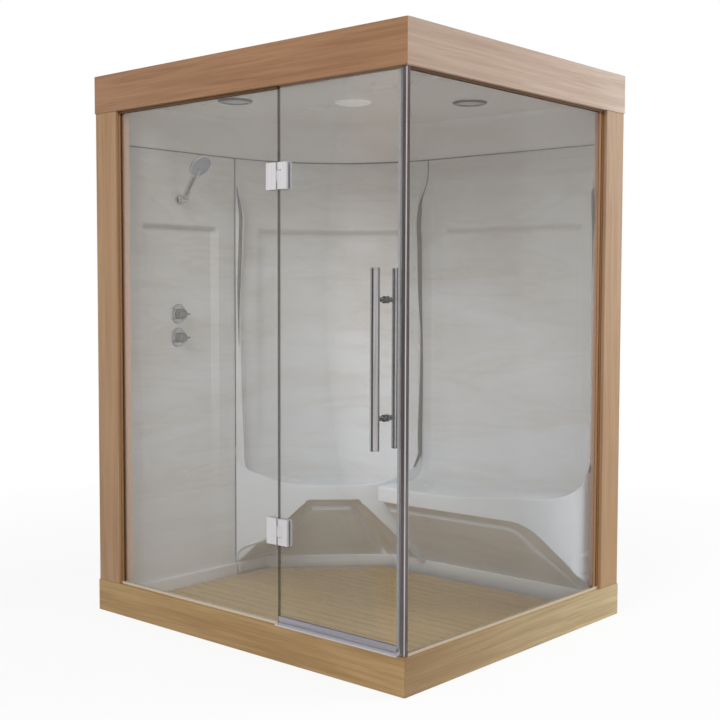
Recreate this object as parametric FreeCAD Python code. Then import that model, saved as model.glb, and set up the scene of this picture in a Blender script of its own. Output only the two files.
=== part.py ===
"""Timber-framed steam cabin with moulded acrylic seats, a glazed front corner and a hinged glass door.

Millimetres, +Z up, origin on the floor at the middle of the plan.
The door is in the front face (-Y), the side glass in the right face (+X).
The shower is on the left wall, the bench along the back wall and the corner seat between them.
"""
import FreeCAD
import Part
import math
import os

# Overall box of the timber frame
width = 1650.0
depth = 1390.0
height = 2200.0

# Timber boards and posts
timber = 50.0
post_face = 135.0
post_setback = 3.0
plinth_height = 128.0
fascia_height = 151.0
stud_width = 45.0
stud_setback = 4.0
joist_width = 40.0
joist_height = 60.0
joist_inner = 180.0
joist_outer = 560.0

# Floor build-up, from the floor upwards
bearer_thick = 6.0
bearer_width = 60.0
bearer_pitch = 300.0
tray_thick = 6.0
tray_rim = 5.0
tray_rim_drop = 8.0
batten_thick = 9.0
batten_width = 40.0
slat_thick = 14.0
slat_width = 45.0
slat_gap = 8.5
floor_gap = 4.0
waste_x = 150.0
waste_y = 0.0
waste_flange_radius = 52.0
waste_neck_radius = 40.0
waste_bore_radius = 25.0
waste_flange_thick = 2.0
waste_clearance = 0.5
grate_margin = 4.0
grate_thick = 3.0
grate_slot = 5.0
grate_pitch = 11.0

# Moulded acrylic shell
wall_left_gap = 20.0
wall_back_gap = 12.0
sheet = 6.0
wall_drop = 273.0
seam = 1.0
corner_radius = 620.0
seat_height = 473.0
apron_height = 68.0
skirting_height = 75.0
skirting_proud = 12.0
chamfer_inset = 60.0
seat_nose = 18.0
recess_depth = 12.0
recess_bevel = 40.0
recess_front = 178.0
recess_end = 26.0
recess_bottom = 160.0
recess_top_drop = 312.0
back_recess_margin = 90.0

# Corner seat
corner_seat_reach = 383.0
corner_seat_end = 50.0
kick_setback = 35.0
corner_kick_half_top = 110.0
corner_kick_half_bottom = 395.0

# Bench
bench_reach = 343.0
bench_curl = 170.0
bench_kick_right_top = 160.0
bench_kick_right_bottom = 12.0

# Raised wings that edge the seat backs
wing_width = 60.0
wing_left_proud = 35.0
wing_back_proud = 105.0
wing_right_proud = 85.0
wing_fade_drop = 127.0
wing_crest_drop = 277.0
wing_waist_rise = 287.0
wing_waist_proud = 30.0
wing_flare_rise = 117.0
wing_foot = 35.0
wing_bench_flare = 150.0

# Ceiling lid and lights
ceiling_drop = 108.0
lamp_row_x = 15.0
lamp_row_y = -50.0
lamp_x = 345.0
lamp_y = 322.0
lamp_hole_margin = 8.0
lamp_bezel_margin = 20.0
lamp_bezel_thick = 7.0
lamp_bezel_taper = 5.0
lamp_lip = 4.0
lamp_lip_thick = 2.0
lamp_lens_radius = 50.0
lamp_lens_thick = 3.0
lamp_clearance = 0.5
lamp_can_height = 75.0
centre_hole_radius = 45.0
centre_diffuser_margin = 31.0
centre_diffuser_thick = 12.0
centre_diffuser_taper = 9.0

# Glass
glass = 10.0
glass_setback = 27.0
channel_width = 18.0
channel_height = 14.0
channel_inset = 6.0
channel_base = 4.0
profile_size = 22.0
profile_round = 4.0
profile_slot = 5.5
slot_clearance = 0.5

# Door
door_split = 218.0
door_gap = 5.0
door_lift = 22.0
door_head_gap = 6.0
strike_thick = 3.0
strike_width = 12.0
strike_gap = 0.7
edge_seal = 3.3
edge_seal_width = 14.0
edge_seal_overlap = 8.0
seal_clearance = 0.2
sweep_gap = 2.0
sweep_overlap = 8.0
threshold_front = 4.0
threshold_back = 9.0
threshold_inset = 2.0

# Glass-to-glass hinges
hinge_low = 466.0
hinge_high_drop = 314.0
hinge_height = 95.0
hinge_leaf = 50.0
hinge_plate = 8.0
hinge_gasket = 1.0
hinge_gap = 4.0
hinge_axis_inset = 13.0
hinge_bevel = 4.0
tongue_height = 40.0
tongue_radius = 9.0
tongue_clearance = 0.6
pin_radius = 4.0
pin_running = 0.05
boss_height = 13.0
glass_notch_clearance = 1.0
hinge_screw_radius = 3.0
hinge_screw_head = 5.5
hinge_screw_head_thick = 3.0
hinge_screw_spacing = 60.0
hinge_screw_edge = 14.0
hinge_screw_clearance = 1.0

# Ladder handle
handle_inset = 109.0
handle_length = 600.0
handle_middle = 1106.0
handle_spacing = 390.0
handle_radius = 16.0
handle_chamfer = 1.5
handle_reach = 55.0
standoff_radius = 8.0
washer_radius = 12.0
washer_thick = 2.0
stud_radius = 4.0
stud_clearance = 0.5

# Shower and valves on the left wall
plumbing_offset = 45.0
flow_drop = 385.0
valve_gap = 16.0
plate_radius = 43.0
plate_thick = 5.0
knob_radius = 23.0
knob_length = 36.0
knob_gap = 1.0
knob_round = 3.0
lever_length = 22.0
lever_radius = 4.0
spindle_radius = 6.0
spindle_running = 0.05
spindle_engage = 24.0
valve_neck_radius = 16.0
valve_body_radius = 20.0
valve_setback = 4.0
stud_pipe_gap = 43.5
pipe_clearance = 0.5
pipe_radius = 7.5
pipe_side = 60.0
pipe_drop = 220.0
pipe_stub = 5.0
tail_radius = 10.5
tail_length = 12.0
shower_drop = 206.0
shower_flange_radius = 24.0
shower_flange_thick = 6.0
shower_stem_radius = 8.0
shower_axis_reach = 32.0
shower_eye_radius = 12.0
shower_eye_width = 16.0
shower_ear_thick = 7.0
shower_ear_gap = 0.4
shower_pin_radius = 5.0
shower_pin_running = 0.05
shower_neck_margin = 1.0
shower_neck_length = 17.0
shower_arm_start = 15.0
shower_arm_radius = 11.0
shower_arm_length = 172.0
shower_lean = 37.0
shower_head_radius = 55.0
shower_head_thick = 20.0
shower_head_taper = 14.0
shower_wall = 3.0
shower_face_margin = 8.0
shower_face_thick = 3.0

# Steam inlet, which rises through the floor behind the front plinth
steam_x = -450.0
steam_gap = 10.0
steam_flange_radius = 30.0
steam_flange_thick = 4.0
steam_cap_radius = 22.0
steam_cap_top = 98.0
steam_cap_wall = 5.0
steam_pipe_radius = 11.0
steam_pipe_wall = 1.5
steam_slot = 8.0
steam_clearance = 0.5

left = -width / 2
right = width / 2
front = -depth / 2
back = depth / 2
fascia_bottom = height - fascia_height
ceiling_under = height - ceiling_drop
wall_top = height - wall_drop
recess_top = wall_top - recess_top_drop
shower_height = wall_top - shower_drop
hinge_high = fascia_bottom - hinge_high_drop
apron_bottom = seat_height - apron_height
tray_rim_top = plinth_height - tray_rim_drop
slat_pitch = slat_width + slat_gap
flow_height = recess_top - flow_drop
mixer_height = flow_height - plate_radius * 2 - valve_gap
tray_floor = bearer_thick + tray_thick
slat_bottom = tray_floor + batten_thick
wall_x = left + timber + wall_left_gap
wall_y = back - timber - wall_back_gap
centre_x = wall_x + corner_radius
centre_y = wall_y - corner_radius
skirting_top = tray_floor + skirting_height
skirting_chamfer = corner_radius - chamfer_inset
recess_y = (front + recess_front, centre_y - recess_end)
plumbing_y = (recess_y[0] + recess_y[1]) / 2 - plumbing_offset
steam_y = front + timber + tray_rim + steam_flange_radius + steam_gap
lamp_hole_radius = lamp_lens_radius + lamp_hole_margin
lamp_bezel_radius = lamp_lens_radius + lamp_bezel_margin
centre_diffuser_radius = centre_hole_radius + centre_diffuser_margin
shower_neck_radius = shower_eye_width / 2 - shower_neck_margin
shower_head_back_radius = shower_head_radius - shower_head_taper
shower_face_radius = shower_head_radius - shower_face_margin
glass_y = front + glass_setback
glass_x = right - glass_setback
profile_left = glass_x - profile_size / 2
profile_rear = glass_y + profile_size / 2
wall_reach = wall_x - left + timber
panel_z0 = tray_floor
panel_z1 = wall_top - seam / 2
bench_right = right - timber - tray_rim - seam

parts = {}


def vec(x, y, z):
    return FreeCAD.Vector(x, y, z)


def box(x0, x1, y0, y1, z0, z1):
    """Upright box between two corners."""
    return Part.makeBox(x1 - x0, y1 - y0, z1 - z0, vec(x0, y0, z0))


def rod(start, direction, radius, length):
    """Round bar from a start point along a direction."""
    return Part.makeCylinder(radius, length, vec(*start), vec(*direction))


def polygon(points):
    """Flat face through the given points."""
    loop = [vec(*p) for p in points]
    return Part.Face(Part.makePolygon(loop + loop[:1]))


def prism(plan, z0, z1):
    """Plan outline raised from z0 to z1."""
    return polygon([(x, y, z0) for x, y in plan]).extrude(vec(0, 0, z1 - z0))


def loft(*outlines):
    """Straight-sided solid through outlines with the same number of corners."""
    wires = []
    for outline in outlines:
        loop = [vec(*p) for p in outline]
        wires.append(Part.makePolygon(loop + loop[:1]))
    return Part.makeLoft(wires, True, True)


def add(node, *solids):
    """Keep one or more separate solids under a node's name."""
    parts[node] = solids[0] if len(solids) == 1 else Part.makeCompound(list(solids))


def ring_board(side, z0, z1):
    """One board of a mitred rectangle that follows the outside of the cabin."""
    outer = {"fl": (left, front), "fr": (right, front), "br": (right, back), "bl": (left, back)}
    inner = {
        "fl": (left + timber, front + timber),
        "fr": (right - timber, front + timber),
        "br": (right - timber, back - timber),
        "bl": (left + timber, back - timber),
    }
    ends = {"front": ("fl", "fr"), "right": ("fr", "br"), "back": ("br", "bl"), "left": ("bl", "fl")}
    a, b = ends[side]
    return prism([outer[a], outer[b], inner[b], inner[a]], z0, z1)


# Timber frame

def front_groove(z0, z1, x0):
    """Groove for the channel of the fixed front glass."""
    return box(x0, door_split, glass_y - channel_width / 2, glass_y + channel_width / 2, z0, z1)


def side_groove(z0, z1, y1):
    """Groove for the channel of the side glass."""
    y0 = profile_rear - profile_slot
    return box(glass_x - channel_width / 2, glass_x + channel_width / 2, y0, y1, z0, z1)


front_channel_x = left + post_face - channel_inset
side_channel_y = back - post_face + channel_inset


def make_timber():
    low = (plinth_height - channel_inset, plinth_height)
    high = (fascia_bottom, fascia_bottom + channel_inset)
    add("plinth_front", ring_board("front", 0, plinth_height).cut(front_groove(*low, front_channel_x)))
    add("plinth_right", ring_board("right", 0, plinth_height).cut(side_groove(*low, side_channel_y)))
    add("plinth_back", ring_board("back", 0, plinth_height))
    add("plinth_left", ring_board("left", 0, plinth_height))
    add("fascia_front", ring_board("front", fascia_bottom, height).cut(front_groove(*high, front_channel_x)))
    add("fascia_right", ring_board("right", fascia_bottom, height).cut(side_groove(*high, side_channel_y)))
    add("top_rails", *[ring_board(side, fascia_bottom, height) for side in ("back", "left")])
    z = (plinth_height, fascia_bottom)
    post = box(left + post_setback, left + post_face, front + post_setback, front + timber, *z)
    add("post_front_left", post.cut(front_groove(*z, front_channel_x)))
    post = box(right - timber, right - post_setback, back - post_face, back - post_setback, *z)
    add("post_back_right", post.cut(side_groove(*z, side_channel_y)))


def make_studs():
    z = (plinth_height, fascia_bottom)
    x0 = left + stud_setback
    x_flat = wall_x - sheet
    x_recess = x_flat - recess_depth
    y1 = back - stud_setback
    y_flat = wall_y + sheet
    y_recess = y_flat + recess_depth
    middle_y = plumbing_y + valve_body_radius + pipe_side + pipe_radius + stud_pipe_gap
    left_studs = [
        box(x0, x_flat, front + timber, front + timber + stud_width, *z),
        box(x0, x_recess, middle_y, middle_y + stud_width, *z),
        box(x0, x_flat, centre_y - stud_width / 2, centre_y + stud_width / 2, *z),
    ]
    corner = box(x0, left + timber + stud_setback, back - timber - stud_setback, y1, *z)
    middle_x = (centre_x + bench_right) / 2
    back_studs = [
        box(centre_x - stud_width / 2, centre_x + stud_width / 2, y_flat, y1, *z),
        box(middle_x - stud_width / 2, middle_x + stud_width / 2, y_recess, y1, *z),
        box(right - timber - stud_width, right - timber, y_flat, y1, *z),
    ]
    add("wall_studs", *left_studs, corner, *back_studs)
    joists = []
    for x in (-joist_outer, -joist_inner, joist_inner, joist_outer):
        z0 = ceiling_under + sheet
        y0 = front + timber
        half = joist_width / 2
        joists.append(box(x - half, x + half, y0, back - timber, z0, z0 + joist_height))
    add("ceiling_joists", *joists)


# Floor

def floor_left_edge(y):
    """Left end of the duckboard at a distance y: the left skirting, then the chamfered corner."""
    straight = wall_x + skirting_proud
    reach = skirting_chamfer * math.sqrt(2) - (y - centre_y)
    return max(straight, centre_x - reach) + floor_gap


def make_floor():
    inside = (left + timber, right - timber, front + timber, back - timber)
    bearers = []
    for i in range(-2, 3):
        x = i * bearer_pitch
        half = bearer_width / 2
        bearers.append(box(x - half, x + half, inside[2], inside[3], 0, bearer_thick))
    add("base_bearers", *bearers)
    waste = (waste_x, waste_y)
    steam = (steam_x, steam_y)
    up = (0, 0, 1)
    floor_sheet = box(*inside, bearer_thick, tray_floor)
    floor_sheet = floor_sheet.cut(rod((*waste, 0), up, waste_neck_radius + waste_clearance, tray_floor))
    floor_sheet = floor_sheet.cut(rod((*steam, 0), up, steam_pipe_radius + steam_clearance, tray_floor))
    # The upstands are four strips bonded on the floor sheet, the side ones between the front and back ones.
    x0, x1, y0, y1 = inside
    upstands = [
        box(x0, x1, y0, y0 + tray_rim, tray_floor, tray_rim_top),
        box(x0, x1, y1 - tray_rim, y1, tray_floor, tray_rim_top),
        box(x0, x0 + tray_rim, y0 + tray_rim, y1 - tray_rim, tray_floor, tray_rim_top),
        box(x1 - tray_rim, x1, y0 + tray_rim, y1 - tray_rim, tray_floor, tray_rim_top),
    ]
    add("shower_tray", floor_sheet, *upstands)
    flange_top = tray_floor + waste_flange_thick
    body = rod((*waste, 0), up, waste_neck_radius, tray_floor)
    body = body.fuse(rod((*waste, tray_floor), up, waste_flange_radius, waste_flange_thick))
    add("waste_body", body.cut(rod((*waste, -1), up, waste_bore_radius, tray_floor * 2)))
    grate = rod((*waste, flange_top), up, waste_flange_radius - grate_margin, grate_thick)
    for i in range(-2, 3):
        half = waste_bore_radius - abs(i) * grate_slot / 2
        y = waste_y + i * grate_pitch
        slot = box(
            waste_x - half, waste_x + half, y - grate_slot / 2, y + grate_slot / 2,
            flange_top - 1, flange_top + grate_thick + 1,
        )
        grate = grate.cut(slot)
    add("waste_grate", grate)
    x1 = inside[1] - tray_rim - floor_gap
    y0 = inside[2] + tray_rim + floor_gap
    y_end = wall_y - skirting_proud - floor_gap
    count = int((y_end - y0 + slat_pitch - slat_width) // slat_pitch)
    steam_hole = rod((*steam, 0), up, steam_flange_radius + floor_gap, height)
    slats = []
    for i in range(count):
        a = y0 + i * slat_pitch
        b = a + slat_width
        plan = [(floor_left_edge(a), a), (x1, a), (x1, b), (floor_left_edge(b), b)]
        slats.extend(prism(plan, slat_bottom, slat_bottom + slat_thick).cut(steam_hole).Solids)
    add("duckboard_slats", *slats)
    battens = []
    last = y0 + (count - 1) * slat_pitch + slat_width
    first_x = floor_left_edge(y0) + slat_width
    run = x1 - batten_width - slat_width - first_x
    for i in range(4):
        x = first_x + run * i / 3
        reach = centre_y + skirting_chamfer * math.sqrt(2) - (centre_x - x) - floor_gap * 3
        battens.append(box(x, x + batten_width, y0, min(last, reach), tray_floor, slat_bottom))
    gap = waste_flange_radius + floor_gap
    clear = box(waste_x - gap, waste_x + gap, waste_y - gap, waste_y + gap, tray_floor, slat_bottom)
    add("duckboard_battens", *[b.cut(clear) for b in battens])


# Moulded panels

def frustum(axis, at, rise, a0, a1, z0, z1, grow):
    """Bevelled rectangular block standing off a wall plane, wider at the plane by grow on each side."""
    def outline(offset, margin):
        a_low, a_high, z_low, z_high = a0 - margin, a1 + margin, z0 - margin, z1 + margin
        corners = [(a_low, z_low), (a_high, z_low), (a_high, z_high), (a_low, z_high)]
        if axis == "x":
            return [(at + offset, a, z) for a, z in corners]
        return [(a, at + offset, z) for a, z in corners]
    return loft(outline(0, grow), outline(rise, 0))


def dished_wall(axis, at, outward, a0, a1, z0, z1, recess):
    """Flat sheet with a bevelled dish pressed away from the room; outward is +1 or -1 along the axis."""
    rear = at + outward * sheet
    if axis == "x":
        plate = box(min(at, rear), max(at, rear), a0, a1, z0, z1)
    else:
        plate = box(a0, a1, min(at, rear), max(at, rear), z0, z1)
    r = recess
    inner = (r[0] + recess_bevel, r[1] - recess_bevel, r[2] + recess_bevel, r[3] - recess_bevel)
    rim = sheet / 2
    outer = (inner[0] - rim, inner[1] + rim, inner[2] - rim, inner[3] + rim)
    boss = frustum(axis, at, outward * (recess_depth + sheet), *outer, recess_bevel)
    dish = frustum(axis, at, outward * recess_depth, *inner, recess_bevel)
    return plate.fuse(boss).cut(dish)


def make_left_panel():
    y0 = front + timber + tray_rim + seam
    y1 = centre_y - seam / 2
    recess = (*recess_y, recess_bottom, recess_top)
    panel = dished_wall("x", wall_x, -1, y0, y1, panel_z0, panel_z1, recess)
    skirt = box(wall_x - sheet, wall_x + skirting_proud, y0, y1, panel_z0, skirting_top)
    panel = panel.fuse(skirt)
    y = plumbing_y
    for z in (flow_height, mixer_height):
        panel = panel.cut(rod((left, y, z), (1, 0, 0), valve_neck_radius + pipe_clearance, wall_reach))
    stem_hole = shower_stem_radius + pipe_clearance
    panel = panel.cut(rod((left, y, shower_height), (1, 0, 0), stem_hole, wall_reach))
    add("left_wall_panel", panel.removeSplitter())


def wing_profile(proud, flare, rear):
    """Side view of a wing: distance from the wall against height, closed along its rear line."""
    fade = wall_top - wing_fade_drop
    waist = seat_height + wing_waist_rise
    foot = seat_height - sheet / 2
    return [
        (rear, fade), (0.0, fade), (proud, wall_top - wing_crest_drop), (wing_waist_proud, waist),
        ((wing_waist_proud + flare) / 2, seat_height + wing_flare_rise),
        (flare, foot + wing_foot), (flare, foot), (rear, foot),
    ]


def sunk_profile(rear):
    """The far edge of a wing, where it has sunk into the wall."""
    heights = [z for p, z in wing_profile(0, 0, rear)]
    return [(rear, heights[0])] + [(rear / 2, z) for z in heights[1:-1]] + [(rear, heights[-1])]


def polar(radius, angle):
    """Plan point at a distance from the corner centre; angle 0 is the left wall, 90 the back wall."""
    return (centre_x - radius * math.cos(angle), centre_y + radius * math.sin(angle))


def seat_arc(inset):
    """Centre and radius of the corner seat's front edge, pulled back by inset."""
    end = corner_radius - corner_seat_end
    ends = (centre_x - end, centre_y), (centre_x, centre_y + end)
    middle = polar(corner_radius - corner_seat_reach, math.pi / 4)
    chord = ((ends[0][0] + ends[1][0]) / 2, (ends[0][1] + ends[1][1]) / 2)
    half = math.dist(ends[0], chord)
    rise = math.dist(middle, chord)
    radius = (half * half + rise * rise) / (2 * rise)
    return polar(corner_radius - corner_seat_reach + radius, math.pi / 4), radius - inset


def corner_block():
    """Quarter-round seat block between the two seams, the seat's front arc and the wall."""
    end = corner_radius - corner_seat_end
    z0 = skirting_top
    seat = [(centre_x - end, centre_y), polar(corner_radius - corner_seat_reach, math.pi / 4)]
    seat.append((centre_x, centre_y + end))
    wall = [(centre_x, wall_y), polar(corner_radius, math.pi / 4), (wall_x, centre_y)]
    seat = [vec(*p, z0) for p in seat]
    wall = [vec(*p, z0) for p in wall]
    edges = [
        Part.Arc(*seat).toShape(), Part.LineSegment(seat[2], wall[0]).toShape(),
        Part.Arc(*wall).toShape(), Part.LineSegment(wall[2], seat[0]).toShape(),
    ]
    return Part.Face(Part.Wire(edges)).extrude(vec(0, 0, seat_height - z0))


def corner_hollow():
    """Space inside the corner seat's shell, open at the back."""
    hub, radius = seat_arc(sheet)
    gap = seam / 2 + sheet
    z0 = skirting_top - 1
    z1 = seat_height - sheet
    disc = rod((*hub, z0), (0, 0, 1), radius, z1 - z0)
    quadrant = box(left - width, centre_x - gap, centre_y + gap, back + depth, z0, z1)
    return disc.common(quadrant)


def diagonal(solid):
    """Turn a solid made along +X so that +X points from the corner centre to the back left corner."""
    solid.rotate(vec(0, 0, 0), vec(0, 0, 1), 135)
    solid.translate(vec(centre_x, centre_y, 0))
    return solid


def kick_recess(grow):
    """Wedge-shaped space under the corner seat, along +X from the room to the wall; grow thickens it."""
    near = -skirting_chamfer
    far_top = corner_radius - corner_seat_reach + kick_setback + grow
    far_low = skirting_chamfer + grow
    top = apron_bottom + grow
    low = skirting_top - grow
    half_top = corner_kick_half_top + grow
    half_low = corner_kick_half_bottom + grow
    rows = [(near, half_top, top), (far_top, half_top, top), (far_low, half_low, low), (near, half_low, low)]
    return diagonal(loft([(x, -h, z) for x, h, z in rows], rows))


def skirting_outline(proud, chamfer):
    """Plan line of the skirting round the corner: left wall, chamfer, back wall."""
    side = corner_radius - proud
    reach = chamfer * math.sqrt(2) - side
    gap = seam / 2
    return [
        (centre_x - side, centre_y + gap), (centre_x - side, centre_y + reach),
        (centre_x - reach, centre_y + side), (centre_x - gap, centre_y + side),
    ]


def make_corner_panel():
    body = corner_block()
    hub, radius = seat_arc(0)
    nose = [e for e in body.Edges if abs(e.BoundBox.ZMin - seat_height) < 1e-6
            and hasattr(e.Curve, "Radius") and abs(e.Curve.Radius - radius) < 1e-3]
    body = body.makeFillet(seat_nose, nose)
    body = body.cut(corner_hollow().cut(kick_recess(sheet))).cut(kick_recess(0))
    outline = skirting_outline(skirting_proud, skirting_chamfer)
    outline += skirting_outline(-sheet, skirting_chamfer + skirting_proud + sheet)[::-1]
    skirt = prism(outline, panel_z0, skirting_top)
    z0 = seat_height - sheet
    wall = rod((centre_x, centre_y, z0), (0, 0, 1), corner_radius + sheet, panel_z1 - z0)
    wall = wall.cut(rod((centre_x, centre_y, 0), (0, 0, 1), corner_radius, height))
    quadrant = box(left - width, centre_x - seam / 2, centre_y + seam / 2, back + depth, 0, height)
    rear = -sheet / 2
    span = wing_width / corner_radius
    wings = []
    for start, turn, proud in ((0, 1, wing_left_proud), (math.pi / 2, -1, wing_back_proud)):
        near = [(*polar(corner_radius - p, start), z) for p, z in wing_profile(proud, corner_seat_end, rear)]
        far = [(*polar(corner_radius - p, start + turn * span), z) for p, z in sunk_profile(rear)]
        wings.append(loft(near, far))
    panel = body.fuse([skirt, wall] + wings).common(quadrant)
    add("corner_seat_panel", panel.removeSplitter())


def bench_block(inset, z0, z1, overrun):
    """Bench block: straight front with a quarter-round corner at its right end."""
    x0 = centre_x + seam / 2 + inset
    x1 = bench_right - inset
    y_front = wall_y - bench_reach + inset
    bend_x = bench_right - bench_curl
    bend_y = wall_y - bench_reach + bench_curl
    radius = bench_curl - inset
    middle = (bend_x + radius * math.sin(math.pi / 4), bend_y - radius * math.cos(math.pi / 4))
    rear = wall_y + overrun
    points = [(x1, bend_y), (x1, rear), (x0, rear), (x0, y_front), (bend_x, y_front)]
    loop = [vec(x, y, z0) for x, y in points]
    edges = [Part.LineSegment(a, b).toShape() for a, b in zip(loop, loop[1:])]
    edges.append(Part.Arc(loop[-1], vec(*middle, z0), loop[0]).toShape())
    return Part.Face(Part.Wire(edges)).extrude(vec(0, 0, z1 - z0))


def bench_kick(grow):
    """Space under the bench: open at the front and left, slanting up along the right leg."""
    near = wall_y - bench_reach * 2
    top = apron_bottom + grow
    low = skirting_top - grow
    x0 = centre_x - bench_curl
    x_top = bench_right - bench_kick_right_top + grow
    x_low = bench_right - bench_kick_right_bottom + grow
    y_top = wall_y - bench_reach + kick_setback + grow
    y_low = wall_y - skirting_proud + grow
    rows = [(near, top, x_top), (y_top, top, x_top), (y_low, low, x_low), (near, low, x_low)]
    return loft([(x0, y, z) for y, z, x in rows], [(x, y, z) for y, z, x in rows])


def make_bench_panel():
    x0 = centre_x + seam / 2
    body = bench_block(0, skirting_top, seat_height, 0)
    y_front = wall_y - bench_reach
    nose = [e for e in body.Edges if abs(e.BoundBox.ZMin - seat_height) < 1e-6
            and abs(e.BoundBox.ZMax - seat_height) < 1e-6 and abs(e.BoundBox.YMin - y_front) < 0.5
            and e.BoundBox.XLength > 1]
    body = body.makeFillet(seat_nose, nose)
    hollow = bench_block(sheet, skirting_top - 1, seat_height - sheet, back - wall_y)
    body = body.cut(hollow.cut(bench_kick(sheet))).cut(bench_kick(0))
    margin = back_recess_margin
    recess = (x0 + margin, bench_right - margin, seat_height + margin, recess_top)
    wall = dished_wall("y", wall_y, 1, x0, bench_right, seat_height - sheet, panel_z1, recess)
    skirt = box(x0, bench_right, wall_y - skirting_proud, wall_y + sheet, panel_z0, skirting_top)
    rear = -sheet / 2
    wings = []
    for start, turn, proud in ((x0, 1, wing_back_proud), (bench_right, -1, wing_right_proud)):
        near = [(start, wall_y - p, z) for p, z in wing_profile(proud, wing_bench_flare, rear)]
        far = [(start + turn * wing_width, wall_y - p, z) for p, z in sunk_profile(rear)]
        wings.append(loft(near, far))
    panel = body.fuse([wall, skirt] + wings)
    add("back_bench_panel", panel.removeSplitter())


def ceiling_plan(inset, z0, z1, x1, y0):
    """Plan of the lid: square corners but for the rounded back left one, pulled in by inset."""
    radius = corner_radius + sheet - inset
    x_left = centre_x - radius
    y_back = centre_y + radius
    middle = polar(radius, math.pi / 4)
    points = [(centre_x, y_back), (x1, y_back), (x1, y0), (x_left, y0), (x_left, centre_y)]
    loop = [vec(x, y, z0) for x, y in points]
    edges = [Part.LineSegment(a, b).toShape() for a, b in zip(loop, loop[1:])]
    edges.append(Part.Arc(loop[-1], vec(*middle, z0), loop[0]).toShape())
    return Part.Face(Part.Wire(edges)).extrude(vec(0, 0, z1 - z0))


lamp_left = (lamp_row_x - lamp_x, lamp_row_y - lamp_y)
lamp_right = (lamp_row_x + lamp_x, lamp_row_y + lamp_y)
lamp_spots = (lamp_left, lamp_right)


def make_ceiling():
    x1 = right - timber
    y0 = front + timber
    top = ceiling_under + sheet
    lid = ceiling_plan(0, wall_top + seam / 2, top, x1, y0)
    room = ceiling_plan(sheet, wall_top, ceiling_under, x1 + width, y0 - depth)
    lid = lid.cut(room)
    for x, y in lamp_spots:
        lid = lid.cut(rod((x, y, wall_top), (0, 0, 1), lamp_hole_radius, height))
    lid = lid.cut(rod((lamp_row_x, lamp_row_y, wall_top), (0, 0, 1), centre_hole_radius, height))
    add("ceiling_panel", lid)
    bezels = []
    lenses = []
    cans = []
    z0 = ceiling_under - lamp_bezel_thick
    lip_top = z0 + lamp_lip_thick
    for x, y in lamp_spots:
        small = lamp_bezel_radius - lamp_bezel_taper
        bezel = Part.makeCone(small, lamp_bezel_radius, lamp_bezel_thick, vec(x, y, z0))
        bezel = bezel.cut(rod((x, y, z0), (0, 0, 1), lamp_lens_radius - lamp_lip, lamp_bezel_thick))
        bezels.append(bezel.cut(rod((x, y, lip_top), (0, 0, 1), lamp_lens_radius, lamp_bezel_thick)))
        lenses.append(rod((x, y, lip_top), (0, 0, 1), lamp_lens_radius - lamp_clearance, lamp_lens_thick))
        cans.append(light_can(x, y, lamp_hole_radius - lamp_clearance))
    cans.append(light_can(lamp_row_x, lamp_row_y, centre_hole_radius - lamp_clearance))
    z0 = ceiling_under - centre_diffuser_thick
    small = centre_diffuser_radius - centre_diffuser_taper
    add("downlight_bezels", *bezels)
    add("downlight_lenses", *lenses)
    add("light_cans", *cans)
    foot = vec(lamp_row_x, lamp_row_y, z0)
    diffuser = Part.makeCone(small, centre_diffuser_radius, centre_diffuser_thick, foot)
    add("centre_light_diffuser", diffuser)


def light_can(x, y, radius):
    """Open-bottomed housing of one light, standing above the ceiling sheet."""
    can = rod((x, y, ceiling_under), (0, 0, 1), radius, lamp_can_height)
    return can.cut(rod((x, y, ceiling_under), (0, 0, 1), radius - sheet, lamp_can_height - sheet))


# Fixed glass

def channel_run(axis, place, a0, a1, mouth):
    """U channel that grips a glass edge; mouth is the direction in which it opens."""
    half = channel_width / 2
    inner = glass / 2
    depth_in = channel_height
    outline = [(-half, 0), (half, 0), (half, depth_in), (inner, depth_in), (inner, channel_base)]
    outline += [(-inner, channel_base), (-inner, depth_in), (-half, depth_in)]
    points = [place(u, v * mouth, a0) for u, v in outline]
    direction = {"x": vec(a1 - a0, 0, 0), "y": vec(0, a1 - a0, 0), "z": vec(0, 0, a1 - a0)}[axis]
    return polygon(points).extrude(direction)


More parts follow.
